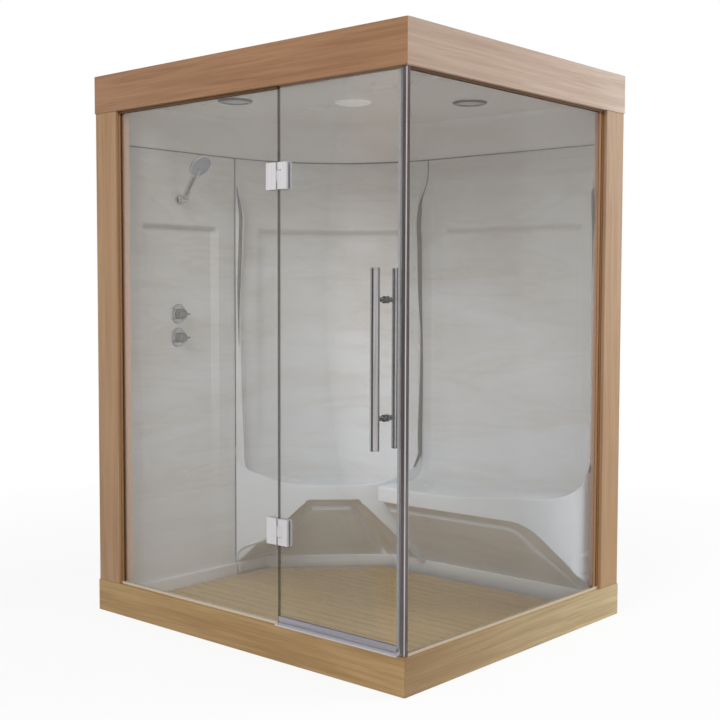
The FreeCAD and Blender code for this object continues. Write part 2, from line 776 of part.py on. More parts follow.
def make_fixed_glass():
    low = plinth_height - channel_inset
    high = fascia_bottom + channel_inset
    z0 = low + channel_base
    z1 = high - channel_base
    x0 = front_channel_x + channel_base
    x1 = door_split - door_gap / 2
    pane = box(x0, x1, glass_y - glass / 2, glass_y + glass / 2, z0, z1)
    for z in (hinge_low, hinge_high):
        pane = pane.cut(fixed_notch(z)).cut(glass_holes(fixed_screw_x, z))
    add("fixed_front_glass", pane)
    y0 = profile_rear - profile_slot + slot_clearance
    y1 = side_channel_y - channel_base
    add("side_glass", box(glass_x - glass / 2, glass_x + glass / 2, y0, y1, z0, z1))
    front_runs = [
        channel_run("x", lambda u, v, a: (a, glass_y + u, low + v), front_channel_x, x1, 1),
        channel_run("x", lambda u, v, a: (a, glass_y + u, high + v), front_channel_x, x1, -1),
        channel_run("z", lambda u, v, a: (front_channel_x + v, glass_y + u, a),
                    low + channel_height, high - channel_height, 1),
    ]
    side_runs = [
        channel_run("y", lambda u, v, a: (glass_x + u, a, low + v), profile_rear, side_channel_y, 1),
        channel_run("y", lambda u, v, a: (glass_x + u, a, high + v), profile_rear, side_channel_y, -1),
        channel_run("z", lambda u, v, a: (glass_x + u, side_channel_y + v, a),
                    low + channel_height, high - channel_height, -1),
    ]
    add("glass_channels", *front_runs, *side_runs)
    half = profile_size / 2
    bar = box(glass_x - half, glass_x + half, glass_y - half, glass_y + half, plinth_height, fascia_bottom)
    upright = [e for e in bar.Edges if e.BoundBox.ZLength > profile_size]
    bar = bar.makeFillet(profile_round, upright)
    slot_half = glass / 2 + slot_clearance
    slot = box(glass_x - slot_half, glass_x + slot_half, profile_rear - profile_slot, back, 0, height)
    add("corner_profile", bar.cut(slot))
    strike = (glass_y - strike_width / 2, glass_y + strike_width / 2)
    add("strike_seal", box(profile_left - strike_thick, profile_left, *strike, door_bottom(), door_top()))
    y_front = front + threshold_inset
    y_rear = front + timber
    wedge = [(door_split, y_front, plinth_height), (door_split, y_rear, plinth_height)]
    wedge.append((door_split, y_rear, plinth_height + threshold_back))
    wedge.append((door_split, y_front, plinth_height + threshold_front))
    add("threshold_bar", polygon(wedge).extrude(vec(profile_left - door_split, 0, 0)))


def door_bottom():
    return plinth_height + door_lift


def door_top():
    return fascia_bottom - door_head_gap


# Hinges

hinge_axis_x = door_split + hinge_gap / 2 + hinge_axis_inset
plate_outer = (glass_y - glass / 2 - hinge_gasket - hinge_plate, glass_y - glass / 2 - hinge_gasket)
plate_inner = (glass_y + glass / 2 + hinge_gasket, glass_y + glass / 2 + hinge_gasket + hinge_plate)
tongue_half = tongue_height / 2
notch_half = tongue_half + tongue_clearance
boss_half = notch_half + boss_height
notch_right = hinge_axis_x + tongue_radius + tongue_clearance
fixed_edge = door_split - hinge_gap / 2
door_edge = door_split + hinge_gap / 2
neck_root = fixed_edge - hinge_axis_inset


def fixed_notch(z):
    """Notch in the fixed glass for the neck of the hinge tongue."""
    c = glass_notch_clearance
    half = tongue_half + c
    return box(neck_root - c, door_split, glass_y - glass, glass_y + glass, z - half, z + half)


def door_notch(z):
    """Notch in the door glass for the tongue and the two pin bosses."""
    c = glass_notch_clearance
    x1 = notch_right + tongue_radius / 2 + c
    return box(door_split, x1, glass_y - glass, glass_y + glass, z - boss_half - c, z + boss_half + c)


def hinge_screws(x, z):
    """Clamp screws of one leaf: a flush head inside and a shank into the outer plate."""
    solids = []
    for dz in (-hinge_screw_spacing / 2, hinge_screw_spacing / 2):
        y1 = plate_inner[1]
        y0 = plate_outer[0] + hinge_plate / 2
        shank = rod((x, y0, z + dz), (0, 1, 0), hinge_screw_radius, y1 - y0 - hinge_screw_head_thick)
        seat = y1 - hinge_screw_head_thick
        head = rod((x, seat, z + dz), (0, 1, 0), hinge_screw_head, hinge_screw_head_thick)
        solids.append(shank.fuse(head))
    return solids


def leaf_holes(x, z):
    """Threaded and counterbored holes through the plates of one leaf."""
    holes = hinge_screws(x, z)
    return holes[0].fuse(holes[1])


def glass_holes(x, z):
    """Clearance holes through glass and gaskets for the clamp screws of one leaf."""
    spread = hinge_screw_spacing / 2
    wide = hinge_screw_radius + hinge_screw_clearance
    holes = [rod((x, front, z + dz), (0, 1, 0), wide, timber * 2) for dz in (-spread, spread)]
    return holes[0].fuse(holes[1])


fixed_screw_x = fixed_edge - hinge_leaf + hinge_screw_edge
door_screw_x = door_edge + hinge_leaf - hinge_screw_edge


def make_hinges():
    groups = {}
    for z in (hinge_low, hinge_high):
        z0 = z - hinge_height / 2
        z1 = z + hinge_height / 2
        for side in ("fixed", "door"):
            fixed = side == "fixed"
            x0 = fixed_edge - hinge_leaf if fixed else door_edge
            x1 = fixed_edge if fixed else door_edge + hinge_leaf
            screw_x = fixed_screw_x if fixed else door_screw_x
            holes = leaf_holes(screw_x, z)
            outer = box(x0, x1, *plate_outer, z0, z1)
            inner = box(x0, x1, *plate_inner, z0, z1)
            if fixed:
                outer = outer.fuse(hinge_tongue(z))
            else:
                outer = door_leaf(outer, z)
                inner = inner.cut(leaf_notch(z))
            groups.setdefault(side + "_hinge_outer_plates", []).append(outer.cut(holes))
            groups.setdefault(side + "_hinge_inner_plates", []).append(inner.cut(holes))
            groups.setdefault(side + "_hinge_screws", []).extend(hinge_screws(screw_x, z))
            pads = hinge_pads(x0, x1, z0, z1, z, fixed)
            wide_holes = glass_holes(screw_x, z)
            groups.setdefault(side + "_hinge_gaskets", []).extend(pad.cut(wide_holes) for pad in pads)
        pin = rod((hinge_axis_x, glass_y, z - boss_half), (0, 0, 1), pin_radius, boss_half * 2)
        groups.setdefault("hinge_pins", []).append(pin)
    for node, solids in groups.items():
        add(node, *solids)


def hinge_tongue(z):
    """Neck and rounded tongue of the fixed leaf, bored for the pin."""
    z0 = z - tongue_half
    neck_y = (plate_outer[1], plate_inner[0])
    z1 = z0 + tongue_height
    neck = box(neck_root, hinge_axis_x, *neck_y, z0, z1)
    front_neck = box(fixed_edge, hinge_axis_x, glass_y - tongue_radius, plate_inner[0], z0, z1)
    front_neck = front_neck.fuse(box(neck_root, fixed_edge, *neck_y, z0, z1))
    barrel = rod((hinge_axis_x, glass_y, z0), (0, 0, 1), tongue_radius, tongue_height)
    bore = rod((hinge_axis_x, glass_y, z0 - 1), (0, 0, 1), pin_radius + pin_running, tongue_height + 2)
    return neck.fuse([front_neck, barrel]).cut(bore)


def leaf_notch(z):
    """Opening in the door leaf in which the tongue turns."""
    return box(door_split, notch_right, front - glass, plate_inner[1] + glass, z - notch_half, z + notch_half)


def door_leaf(plate, z):
    """Outer plate of the door leaf, with its bevelled edge, its notch and the bosses that hold the pin."""
    bevel = [
        (door_edge, plate_outer[0], z - hinge_height),
        (door_edge + hinge_bevel, plate_outer[0], z - hinge_height),
        (door_edge, plate_outer[0] + hinge_bevel, z - hinge_height),
    ]
    plate = plate.cut(polygon(bevel).extrude(vec(0, 0, hinge_height * 2)))
    x1 = notch_right + tongue_radius / 2
    x0 = door_edge + hinge_bevel
    for low in (z - boss_half, z + notch_half):
        boss = box(x0, x1, plate_outer[1], glass_y + glass / 2, low, low + boss_height)
        plate = plate.fuse(boss)
    pin_hole = rod((hinge_axis_x, glass_y, z - boss_half - 1), (0, 0, 1), pin_radius, boss_half * 2 + 2)
    return plate.cut(leaf_notch(z)).cut(pin_hole)


def hinge_pads(x0, x1, z0, z1, z, fixed):
    """Thin gaskets between the plates of one leaf and the glass."""
    pads = []
    clear = fixed_notch(z) if fixed else door_notch(z)
    for y in (plate_outer[1], glass_y + glass / 2):
        near = max(x0, door_split + door_gap / 2) if not fixed else x0
        far = min(x1, door_split - door_gap / 2) if fixed else x1
        pads.append(box(near, far, y, y + hinge_gasket, z0, z1).cut(clear))
    return pads


# Door

handle_x = right - handle_inset
door_free_edge = profile_left - strike_thick - strike_gap - edge_seal


def make_door():
    x0 = door_split + door_gap / 2
    y = (glass_y - glass / 2, glass_y + glass / 2)
    pane = box(x0, door_free_edge, *y, door_bottom(), door_top())
    for z in (hinge_low, hinge_high):
        pane = pane.cut(door_notch(z)).cut(glass_holes(door_screw_x, z))
    for z in handle_heights():
        pane = pane.cut(rod((handle_x, front, z), (0, 1, 0), stud_radius + stud_clearance, timber * 2))
    add("door_glass", pane)
    wide = glass / 2 + seal_clearance
    y_seal = (glass_y - edge_seal_width / 2, glass_y + edge_seal_width / 2)
    x_seal = (door_free_edge - edge_seal_overlap, door_free_edge + edge_seal)
    seal = box(*x_seal, *y_seal, door_bottom(), door_top())
    slit = box(x0, door_free_edge, glass_y - wide, glass_y + wide, 0, height)
    add("door_edge_seal", seal.cut(slit))
    sweep_top = door_bottom() + sweep_overlap
    sweep = box(x0, door_free_edge - edge_seal_overlap - seal_clearance, *y_seal,
                plinth_height + threshold_back + sweep_gap, sweep_top)
    groove = box(left, right, glass_y - wide, glass_y + wide, door_bottom(), height)
    add("door_sweep", sweep.cut(groove))


def handle_heights():
    return (handle_middle - handle_spacing / 2, handle_middle + handle_spacing / 2)


def make_handle():
    z0 = handle_middle - handle_length / 2
    bars = {}
    for name, turn in (("handle_outer_bar", -1), ("handle_inner_bar", 1)):
        bar = rod((handle_x, glass_y + turn * handle_reach, z0), (0, 0, 1), handle_radius, handle_length)
        bars[turn] = bar
        rim = [e for e in bar.Edges if hasattr(e.Curve, "Radius")]
        add(name, bar.makeChamfer(handle_chamfer, rim))
    standoffs = []
    washers = []
    studs = []
    face = glass / 2
    for z in handle_heights():
        for turn in (-1, 1):
            y0 = glass_y + turn * face
            washer = rod((handle_x, y0, z), (0, turn, 0), washer_radius, washer_thick)
            start = y0 + turn * washer_thick
            reach = handle_reach - face - washer_thick
            post = rod((handle_x, start, z), (0, turn, 0), standoff_radius, reach)
            collar = rod((handle_x, start, z), (0, turn, 0), washer_radius, washer_thick * 2)
            hole_depth = washer_thick + 1 + standoff_radius
            hole = rod((handle_x, y0 - turn, z), (0, turn, 0), stud_radius, hole_depth)
            standoffs.append(post.fuse(collar).cut(bars[turn]).cut(hole))
            washers.append(washer.cut(hole))
        reach = face + washer_thick + standoff_radius
        studs.append(rod((handle_x, glass_y - reach, z), (0, 1, 0), stud_radius, reach * 2))
    add("handle_standoffs", *standoffs)
    add("handle_washers", *washers)
    add("handle_studs", *studs)


# Shower, valves and steam inlet

dish_x = wall_x - recess_depth
pipe_x = dish_x - sheet - valve_setback - valve_body_radius


def elbow_pipe(points):
    """Pipe of straight runs with a ball at each turn."""
    solids = []
    for a, b in zip(points, points[1:]):
        run = [q - p for p, q in zip(a, b)]
        solids.append(rod(a, run, pipe_radius, math.dist(a, b)))
    for p in points[1:-1]:
        solids.append(Part.makeSphere(pipe_radius, vec(*p)))
    return solids[0].fuse(solids[1:]).removeSplitter()


def make_valves():
    y = plumbing_y
    plates = []
    bodies = []
    spindle_tip = dish_x + plate_thick + knob_gap + spindle_engage
    for node, z in (("flow_knob", flow_height), ("temperature_knob", mixer_height)):
        plate = rod((dish_x, y, z), (1, 0, 0), plate_radius, plate_thick)
        rim = [e for e in plate.Edges if abs(e.BoundBox.XMin - dish_x - plate_thick) < 1e-6]
        plate = plate.makeChamfer(plate_thick / 2, rim)
        spindle_hole = spindle_radius + pipe_clearance
        plates.append(plate.cut(rod((left, y, z), (1, 0, 0), spindle_hole, wall_reach)))
        body = rod((pipe_x, y, z - valve_body_radius), (0, 0, 1), valve_body_radius, valve_body_radius * 2)
        neck = rod((pipe_x, y, z), (1, 0, 0), valve_neck_radius, dish_x - pipe_x)
        spindle = rod((pipe_x, y, z), (1, 0, 0), spindle_radius, spindle_tip - pipe_x)
        bodies.append(body.fuse([neck, spindle]).removeSplitter())
        x0 = dish_x + plate_thick + knob_gap
        knob = rod((x0, y, z), (1, 0, 0), knob_radius, knob_length)
        cap = [e for e in knob.Edges if abs(e.BoundBox.XMin - x0 - knob_length) < 1e-6]
        knob = knob.makeFillet(knob_round, cap)
        lever = rod((x0 + knob_length / 2, y, z), (0, 1, 0), lever_radius, knob_radius + lever_length)
        tip_y = y + knob_radius + lever_length
        lever_tip = Part.makeSphere(lever_radius, vec(x0 + knob_length / 2, tip_y, z))
        socket = rod((x0 - 1, y, z), (1, 0, 0), spindle_radius + spindle_running, spindle_engage + 2)
        add(node, knob.fuse([lever, lever_tip]).cut(socket).removeSplitter())
    add("valve_plates", *plates)
    add("valve_bodies", *bodies)
    supplies = []
    for turn in (-1, 1):
        y1 = y + turn * valve_body_radius
        y2 = y + turn * (valve_body_radius + pipe_side)
        z2 = mixer_height - pipe_drop
        route = [(pipe_x, y1, mixer_height), (pipe_x, y2, mixer_height), (pipe_x, y2, z2)]
        route.append((left + pipe_stub, y2, z2))
        tail = rod((left + pipe_stub, y2, z2), (1, 0, 0), tail_radius, tail_length)
        pipe = elbow_pipe(route).fuse(tail).removeSplitter()
        supplies.append(pipe.cut(bodies[1]))
    link = rod((pipe_x, y, mixer_height + valve_body_radius), (0, 0, 1), pipe_radius,
               flow_height - mixer_height - valve_body_radius * 2)
    riser = elbow_pipe([
        (pipe_x, y, flow_height + valve_body_radius), (pipe_x, y, shower_height),
        (wall_x - sheet, y, shower_height),
    ])
    add("water_pipes", *supplies, link, riser)


def make_shower():
    y = plumbing_y
    axis_x = wall_x + shower_axis_reach
    half = shower_eye_width / 2
    ear_inner = half + shower_ear_gap
    ear_outer = ear_inner + shower_ear_thick
    bracket = rod((wall_x, y, shower_height), (1, 0, 0), shower_flange_radius, shower_flange_thick)
    rim = [e for e in bracket.Edges if abs(e.BoundBox.XMin - wall_x - shower_flange_thick) < 1e-6]
    bracket = bracket.makeFillet(shower_flange_thick / 2, rim)
    stem_end = axis_x - shower_eye_radius - shower_ear_gap * 2
    tail = rod((wall_x - sheet, y, shower_height), (1, 0, 0), shower_stem_radius, stem_end - wall_x + sheet)
    bridge = box(stem_end - shower_stem_radius, stem_end, y - ear_outer, y + ear_outer,
                 shower_height - shower_eye_radius, shower_height + shower_eye_radius)
    ears = []
    for y0 in (y - ear_outer, y + ear_inner):
        ear = rod((axis_x, y0, shower_height), (0, 1, 0), shower_eye_radius, shower_ear_thick)
        web = box(stem_end - 1, axis_x, y0, y0 + shower_ear_thick,
                  shower_height - shower_eye_radius, shower_height + shower_eye_radius)
        ears.append(ear.fuse(web))
    pin = rod((axis_x, y - ear_outer, shower_height), (0, 1, 0), shower_pin_radius, ear_outer * 2)
    add("shower_bracket", bracket.fuse([tail, bridge] + ears).cut(pin).removeSplitter())
    add("shower_pivot_pin", pin)
    lean = math.radians(shower_lean)
    along = (math.sin(lean), 0, math.cos(lean))
    face_dir = (math.cos(lean), 0, -math.sin(lean))
    pivot = (axis_x, y, shower_height)
    eye = rod((axis_x, y - half, shower_height), (0, 1, 0), shower_eye_radius, shower_eye_width)
    neck = rod(pivot, along, shower_neck_radius, shower_neck_length)
    arm_run = shower_arm_length - shower_arm_start
    arm = rod(stepped(pivot, along, shower_arm_start), along, shower_arm_radius, arm_run)
    hole = rod((axis_x, y - shower_eye_width, shower_height), (0, 1, 0),
               shower_pin_radius + shower_pin_running, shower_eye_width * 2)
    head_at = stepped(pivot, along, shower_arm_length)
    back_at = stepped(head_at, face_dir, -shower_head_thick / 2)
    shell = Part.makeCone(shower_head_back_radius, shower_head_radius, shower_head_thick,
                          vec(*back_at), vec(*face_dir))
    front_at = stepped(head_at, face_dir, shower_head_thick / 2 - shower_face_thick)
    face = rod(front_at, face_dir, shower_face_radius, shower_face_thick)
    waterway = rod(stepped(pivot, along, shower_neck_length + shower_wall), along,
                   shower_arm_radius - shower_wall, arm_run)
    add("shower_arm", eye.fuse([neck, arm]).cut(hole).cut(waterway).cut(shell).removeSplitter())
    room_at = stepped(back_at, face_dir, shower_wall)
    room = Part.makeCone(shower_head_back_radius - shower_wall, shower_face_radius - shower_wall,
                         shower_head_thick - shower_wall, vec(*room_at), vec(*face_dir))
    add("shower_head", shell.cut(face).cut(room))
    add("shower_spray_face", face)


def stepped(point, direction, distance):
    """Point moved along a direction."""
    return tuple(p + distance * d for p, d in zip(point, direction))


def make_steam_inlet():
    at = (steam_x, steam_y)
    up = (0, 0, 1)
    flange = rod((*at, tray_floor), up, steam_flange_radius, steam_flange_thick)
    cap = rod((*at, tray_floor), up, steam_cap_radius, steam_cap_top - tray_floor)
    rim = [e for e in cap.Edges if abs(e.BoundBox.ZMin - steam_cap_top) < 1e-6]
    cap = cap.makeFillet(steam_cap_wall, rim)
    room = rod((*at, 0), up, steam_cap_radius - steam_cap_wall, steam_cap_top - steam_cap_wall)
    mouth_top = steam_cap_top - steam_cap_wall - steam_slot
    mouth = box(at[0] - steam_slot, at[0] + steam_slot, at[1], at[1] + steam_cap_radius * 2,
                mouth_top - steam_slot, mouth_top)
    lower = rod((*at, 0), up, steam_pipe_radius, steam_cap_top)
    top = slat_bottom + slat_thick
    collar = rod((*at, tray_floor), up, steam_cap_radius, top - tray_floor).cut(lower)
    outlet = flange.fuse(cap).cut(room).cut(mouth).fuse(collar).cut(lower.common(flange))
    add("steam_outlet", outlet.removeSplitter())
    pipe = rod((*at, 0), up, steam_pipe_radius, top)
    add("steam_inlet_pipe", pipe.cut(rod((*at, 0), up, steam_pipe_radius - steam_pipe_wall, top)))


make_timber()
make_studs()
make_floor()
make_left_panel()
make_corner_panel()
make_bench_panel()
make_ceiling()
make_fixed_glass()
make_hinges()
make_door()
make_handle()
make_valves()
make_shower()
make_steam_inlet()

os.makedirs("parts", exist_ok=True)
for name, shape in parts.items():
    assert shape.isValid(), name
    shape.exportStep("parts/" + name + ".step")
    print(name, len(shape.Solids), "solids", round(shape.Volume / 1000, 1), "cm3")
print(len(parts), "nodes")
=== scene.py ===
# %% [markdown]
# # A timber steam cabin
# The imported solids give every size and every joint. This lesson adds the looks: eased timber, moulded
# acrylic seats, clear glass, polished metal, a slatted floor and soft studio light.

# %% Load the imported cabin
import math
import bpy
import numpy as np
from mathutils import Matrix, Vector


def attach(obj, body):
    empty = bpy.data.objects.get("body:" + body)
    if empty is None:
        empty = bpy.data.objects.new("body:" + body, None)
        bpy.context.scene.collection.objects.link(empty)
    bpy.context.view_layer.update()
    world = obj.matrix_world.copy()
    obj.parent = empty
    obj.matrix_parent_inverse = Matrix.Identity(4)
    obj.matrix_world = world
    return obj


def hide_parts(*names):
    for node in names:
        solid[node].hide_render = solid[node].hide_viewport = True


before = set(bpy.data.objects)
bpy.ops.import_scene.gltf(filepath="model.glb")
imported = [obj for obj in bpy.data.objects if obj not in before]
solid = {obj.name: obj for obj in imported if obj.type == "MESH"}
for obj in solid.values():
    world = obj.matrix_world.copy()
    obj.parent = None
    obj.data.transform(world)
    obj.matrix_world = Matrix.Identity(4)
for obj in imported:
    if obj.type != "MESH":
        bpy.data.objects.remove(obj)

scene = bpy.context.scene
scene.view_settings.view_transform = "Standard"
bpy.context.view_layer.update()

# %% [markdown]
# ## The camera
# The picture was taken from the front right corner, a little above the handle. The lens and the turns were
# worked out from the corners of the timber box, so the camera is placed by its own matrix.

# %% Camera
SENSOR_MM, LENS_MM = 36.0, 59.21
EYE = (3.2293, -3.6380, 1.3227)
TURNS = ((41.485, "Z"), (90 - 3.236, "X"), (0.153, "Z"))

camera = bpy.data.objects.new("camera", bpy.data.cameras.new("camera"))
camera.data.sensor_width, camera.data.lens = SENSOR_MM, LENS_MM
stand = Matrix.Translation(EYE)
for degrees, axis in TURNS:
    stand = stand @ Matrix.Rotation(math.radians(degrees), 4, axis)
camera.matrix_world = stand
scene.collection.objects.link(camera)
scene.camera = camera
print("lens", LENS_MM)

# %% [markdown]
# ## Shader helpers
# Materials are built from nodes in code. One helper adds a node and fills or links its inputs, and one turns
# a colour as a screen shows it into the linear colour that shaders use. Materials are found again by name.

# %% Colour and node helpers
def paint(red, green, blue):
    """Linear colour of a display colour from 0 to 255, by undoing the display's tone curve."""
    shown = np.array([red, green, blue]) / 255
    linear = np.where(shown <= 0.04045, shown / 12.92, ((shown + 0.055) / 1.055) ** 2.4)
    return (*linear.tolist(), 1.0)


def fill(node, sockets):
    """Set or link a node's inputs; each is a plain value or another node's output."""
    for key, value in sockets.items():
        if isinstance(value, bpy.types.NodeSocket):
            node.id_data.links.new(value, node.inputs[key])
        else:
            node.inputs[key].default_value = value


def wire(node, **sockets):
    """Set or link a node's inputs by name; an underscore in a name stands for a space."""
    fill(node, {key.replace("_", " "): value for key, value in sockets.items()})


def add_node(beside, kind, inputs=None, **settings):
    """A shader node with its settings and inputs, in the tree of the node or socket that it goes beside."""
    made = beside.id_data.nodes.new("ShaderNode" + kind)
    for key, value in settings.items():
        setattr(made, key, value)
    fill(made, inputs or {})
    return made


print("node helpers ready")

# %% Value and pattern helpers
def reckon(operation, first, second=0.0, clamp=False):
    """One sum of two values."""
    made = add_node(first, "Math", {0: first, 1: second}, operation=operation, use_clamp=clamp)
    return made.outputs[0]


def weighed(*parts):
    """A sum of values, each given as a pair with its weight."""
    total = 0.0
    for value, weight in parts:
        total = reckon("ADD", reckon("MULTIPLY", value, weight), total)
    return total


def mix_colour(share, first, second, mode="MIX"):
    """The first colour with a share of the second laid over it."""
    levels = {0: share, 6: first, 7: second}
    return add_node(share, "Mix", levels, data_type="RGBA", blend_type=mode).outputs[2]


def stretch(vector, scale):
    """A coordinate multiplied along each axis, which draws a pattern out where the number is small."""
    return add_node(vector, "VectorMath", {0: vector, 1: scale}, operation="MULTIPLY").outputs[0]


def axes(vector):
    """The three parts of a coordinate."""
    return add_node(vector, "SeparateXYZ", {0: vector}).outputs


def ramp(value, low, high, out_low=0.0, out_high=1.0):
    """A value from low to high moved to the range from out_low to out_high, and held there."""
    levels = {"Value": value, "From Min": low, "From Max": high, "To Min": out_low, "To Max": out_high}
    return add_node(value, "MapRange", levels).outputs[0]


def noise(vector, scale, detail=3.0, rough=0.5, twist=0.0):
    """Soft random values in space."""
    levels = {"Vector": vector, "Scale": scale, "Detail": detail, "Roughness": rough, "Distortion": twist}
    return add_node(vector, "TexNoise", levels).outputs["Fac"]


def bump(height, depth):
    """A normal bent by a height map whose full step is depth metres."""
    levels = {"Strength": 1.0, "Distance": depth, "Height": height}
    return add_node(height, "Bump", levels).outputs[0]


def place(beside, turn=(0, 0, 0), shift=(0, 0, 0)):
    """Object coordinates, shifted and turned."""
    spot = add_node(beside, "TexCoord").outputs["Object"]
    levels = {"Vector": spot, "Location": shift, "Rotation": turn}
    return add_node(spot, "Mapping", levels).outputs[0]


print("pattern helpers ready")

# %% Group and material helpers
def start_group(name, **inputs):
    """A shader group with these inputs, each of a kind, that gives a colour, a roughness and a height."""
    tree = bpy.data.node_groups.new(name, "ShaderNodeTree")
    outputs = {"Color": "Color", "Roughness": "Float", "Height": "Float"}
    for side, sockets in (("INPUT", inputs), ("OUTPUT", outputs)):
        for label, kind in sockets.items():
            tree.interface.new_socket(label, in_out=side, socket_type="NodeSocket" + kind)
    return tree, tree.nodes.new("NodeGroupInput").outputs, tree.nodes.new("NodeGroupOutput")


def start_material(name):
    """The Principled shader of a new material."""
    made = bpy.data.materials.new(name)
    made.use_nodes = True
    return made.node_tree.nodes["Principled BSDF"]


def dress(shader, group, depth, **inputs):
    """Let a group with these inputs give a shader its colour, its roughness and bumps of that depth."""
    made = add_node(shader, "Group", node_tree=group)
    wire(made, **inputs)
    wire(shader, Base_Color=made.outputs["Color"], Roughness=made.outputs["Roughness"],
         Normal=bump(made.outputs["Height"], depth))


print("group helpers ready")

# %% [markdown]
# ## Timber
# The boards are planed hemlock: long fine streaks, wide soft bands of early and late wood, and a satin oil.
# A photograph of wood would repeat and has to be unwrapped, so the grain is worked out in space instead. One
# group draws it along X, and each material turns the coordinate so that the grain follows its own boards.

# %% Grain group
grain, given, put = start_group("timber_grain", Vector="Vector", Pale="Color", Dark="Color", Bands="Float")
scaled = add_node(grain, "VectorMath", {0: given["Vector"], "Scale": given["Bands"]},
                  operation="SCALE").outputs[0]
wide = noise(stretch(scaled, (0.35, 7.0, 7.0)), 1.6, 4.0, 0.55, 0.4)
streak = noise(stretch(scaled, (1.3, 70.0, 70.0)), 2.0, 4.0, 0.6)
pore = noise(stretch(scaled, (6.0, 330.0, 330.0)), 2.0, 2.0, 0.5)
cloud = noise(stretch(scaled, (0.8, 1.6, 1.6)), 1.3, 2.0)
bands = ramp(reckon("SINE", reckon("MULTIPLY", wide, 34.0)), -1.0, 1.0)
tone = ramp(weighed((bands, 0.16), (streak, 0.6), (cloud, 0.4)), 0.2, 1.0)
tinted = mix_colour(tone, given["Pale"], given["Dark"])
pores = ramp(pore, 0.6, 0.75, 0.0, 0.28)
wire(put, Color=mix_colour(pores, tinted, given["Dark"], "MULTIPLY"),
     Roughness=ramp(tone, 0.0, 1.0, 0.42, 0.56), Height=weighed((streak, 0.6), (pores, -1.0)))
print("grain nodes", len(grain.nodes))

# %% Timber materials
ALONG = {"x": (0, 0, 0), "y": (0, 0, math.radians(-90)), "z": (0, math.radians(90), 0)}
STUD_TONES = (214, 186, 142), (182, 146, 100)


def timber(name, axis, pale, dark, shift=(0, 0, 0), size=1.0, back=None, top=None, back_axis=None):
    """Oiled timber whose grain runs along one axis of the cabin. The last three are a paler tone painted on
    towards the cabin's back or top as painted light, and the axis of the grain in a board at the back."""
    shader = start_material(name)
    vector, pale = place(shader, ALONG[axis], shift), paint(*pale)
    _, depth, level = axes(place(shader))
    if back:
        pale = mix_colour(ramp(depth, -0.7, 0.7), pale, paint(*back))
    if top:
        pale = mix_colour(ramp(level, 0.2, 2.0), pale, paint(*top))
    if back_axis:
        choice = {0: ramp(depth, 0.55, 0.56), 4: vector, 5: place(shader, ALONG[back_axis], shift)}
        vector = add_node(shader, "Mix", choice, data_type="VECTOR").outputs[1]
    dress(shader, grain, 0.0004, Vector=vector, Pale=pale, Dark=paint(*dark), Bands=size)
    wire(shader, Specular_IOR_Level=0.35)


# Painted light and shade: the boards facing front and those facing right are copies of one timber, toned
# darker or paler by how the light falls on each face. The right fascia and right plinth are painted paler
# towards the back, and the back right post towards the top.
timber("fascia_front_wood", "x", (171, 129, 95), (122, 84, 56))
timber("fascia_right_wood", "y", (198, 174, 154), (164, 136, 118), (0.4, 0.2, 0.3), back=(212, 196, 182))
timber("post_wood", "z", (185, 149, 114), (143, 106, 71), (0.2, 0.7, 0.1))
timber("right_post_wood", "z", (188, 150, 108), (149, 116, 83), (0.6, 0.1, 0.4), top=(190, 165, 143))
timber("plinth_front_wood", "x", (197, 163, 113), (134, 98, 56), (0.3, 0.1, 0.5))
timber("plinth_right_wood", "y", (167, 138, 96), (138, 107, 70), (0.3, 0.9, 0.7), back=(226, 207, 163))
timber("stud_wood", "z", *STUD_TONES, size=1.3)
timber("joist_wood", "y", *STUD_TONES, size=1.3)
timber("rail_wood", "y", *STUD_TONES, size=1.3, back_axis="x")
timber("slat_wood", "x", (222, 194, 138), (192, 158, 102), (0.1, 0.3, 0.2), 1.6)
print("timber finishes", len(bpy.data.materials))

# %% [markdown]
# ## Eased boards
# A planed board never has a knife edge. The solids are loose triangles, so a Weld joins their corners first
# and a Bevel then rounds every real edge. Both are modifiers, so the solids themselves stay as they are.

# %% Boards
BOARD_EASE, SHARP_FROM, WELD_GAP = 0.002, math.radians(40), 0.00005


def finish_solids(material, names, ease=0.0):
    """Give the solids named in one text a finish and, if asked, rounded edges of that size."""
    for target in (solid[name] for name in names.split()):
        target.data.materials.clear()
        target.data.materials.append(bpy.data.materials[material])
        if ease:
            target.modifiers.new("weld", "WELD").merge_threshold = WELD_GAP
            edge = target.modifiers.new("ease", "BEVEL")
            edge.width, edge.segments = ease, 2
            edge.limit_method, edge.angle_limit = "ANGLE", SHARP_FROM


BOARDS = {
    "fascia_front_wood": "fascia_front", "fascia_right_wood": "fascia_right",
    "plinth_front_wood": "plinth_front plinth_back", "plinth_right_wood": "plinth_right plinth_left",
    "post_wood": "post_front_left", "right_post_wood": "post_back_right", "rail_wood": "top_rails",
    "stud_wood": "wall_studs", "joist_wood": "ceiling_joists base_bearers duckboard_battens",
}
for wood, names in BOARDS.items():
    finish_solids(wood, names, BOARD_EASE)
print("kinds of board", len(BOARDS))

# %% [markdown]
# ## Point grids
# Every new piece is a grid of points worked out at once as an array, which is quicker than adding corners one
# by one. One helper numbers the quads and makes the object. Tables of sizes are in mm.

# %% Mesh helpers
def mm(table):
    """Millimetres as metres."""
    return np.asarray(table, float) / 1000


def grid_quads(rows, columns, loop, ring, first):
    """Corner numbers of the quads of a grid numbered row by row. A loop joins the last column to the first
    one, and a ring joins the last row to the first one."""
    r = np.arange(rows if ring else rows - 1)[:, None]
    c = np.arange(columns if loop else columns - 1)[None, :]
    s, d = (r + 1) % rows * columns, (c + 1) % columns
    r = r * columns
    return (np.stack([r + c, r + d, s + d, s + c], -1) + first).reshape(-1, 4)


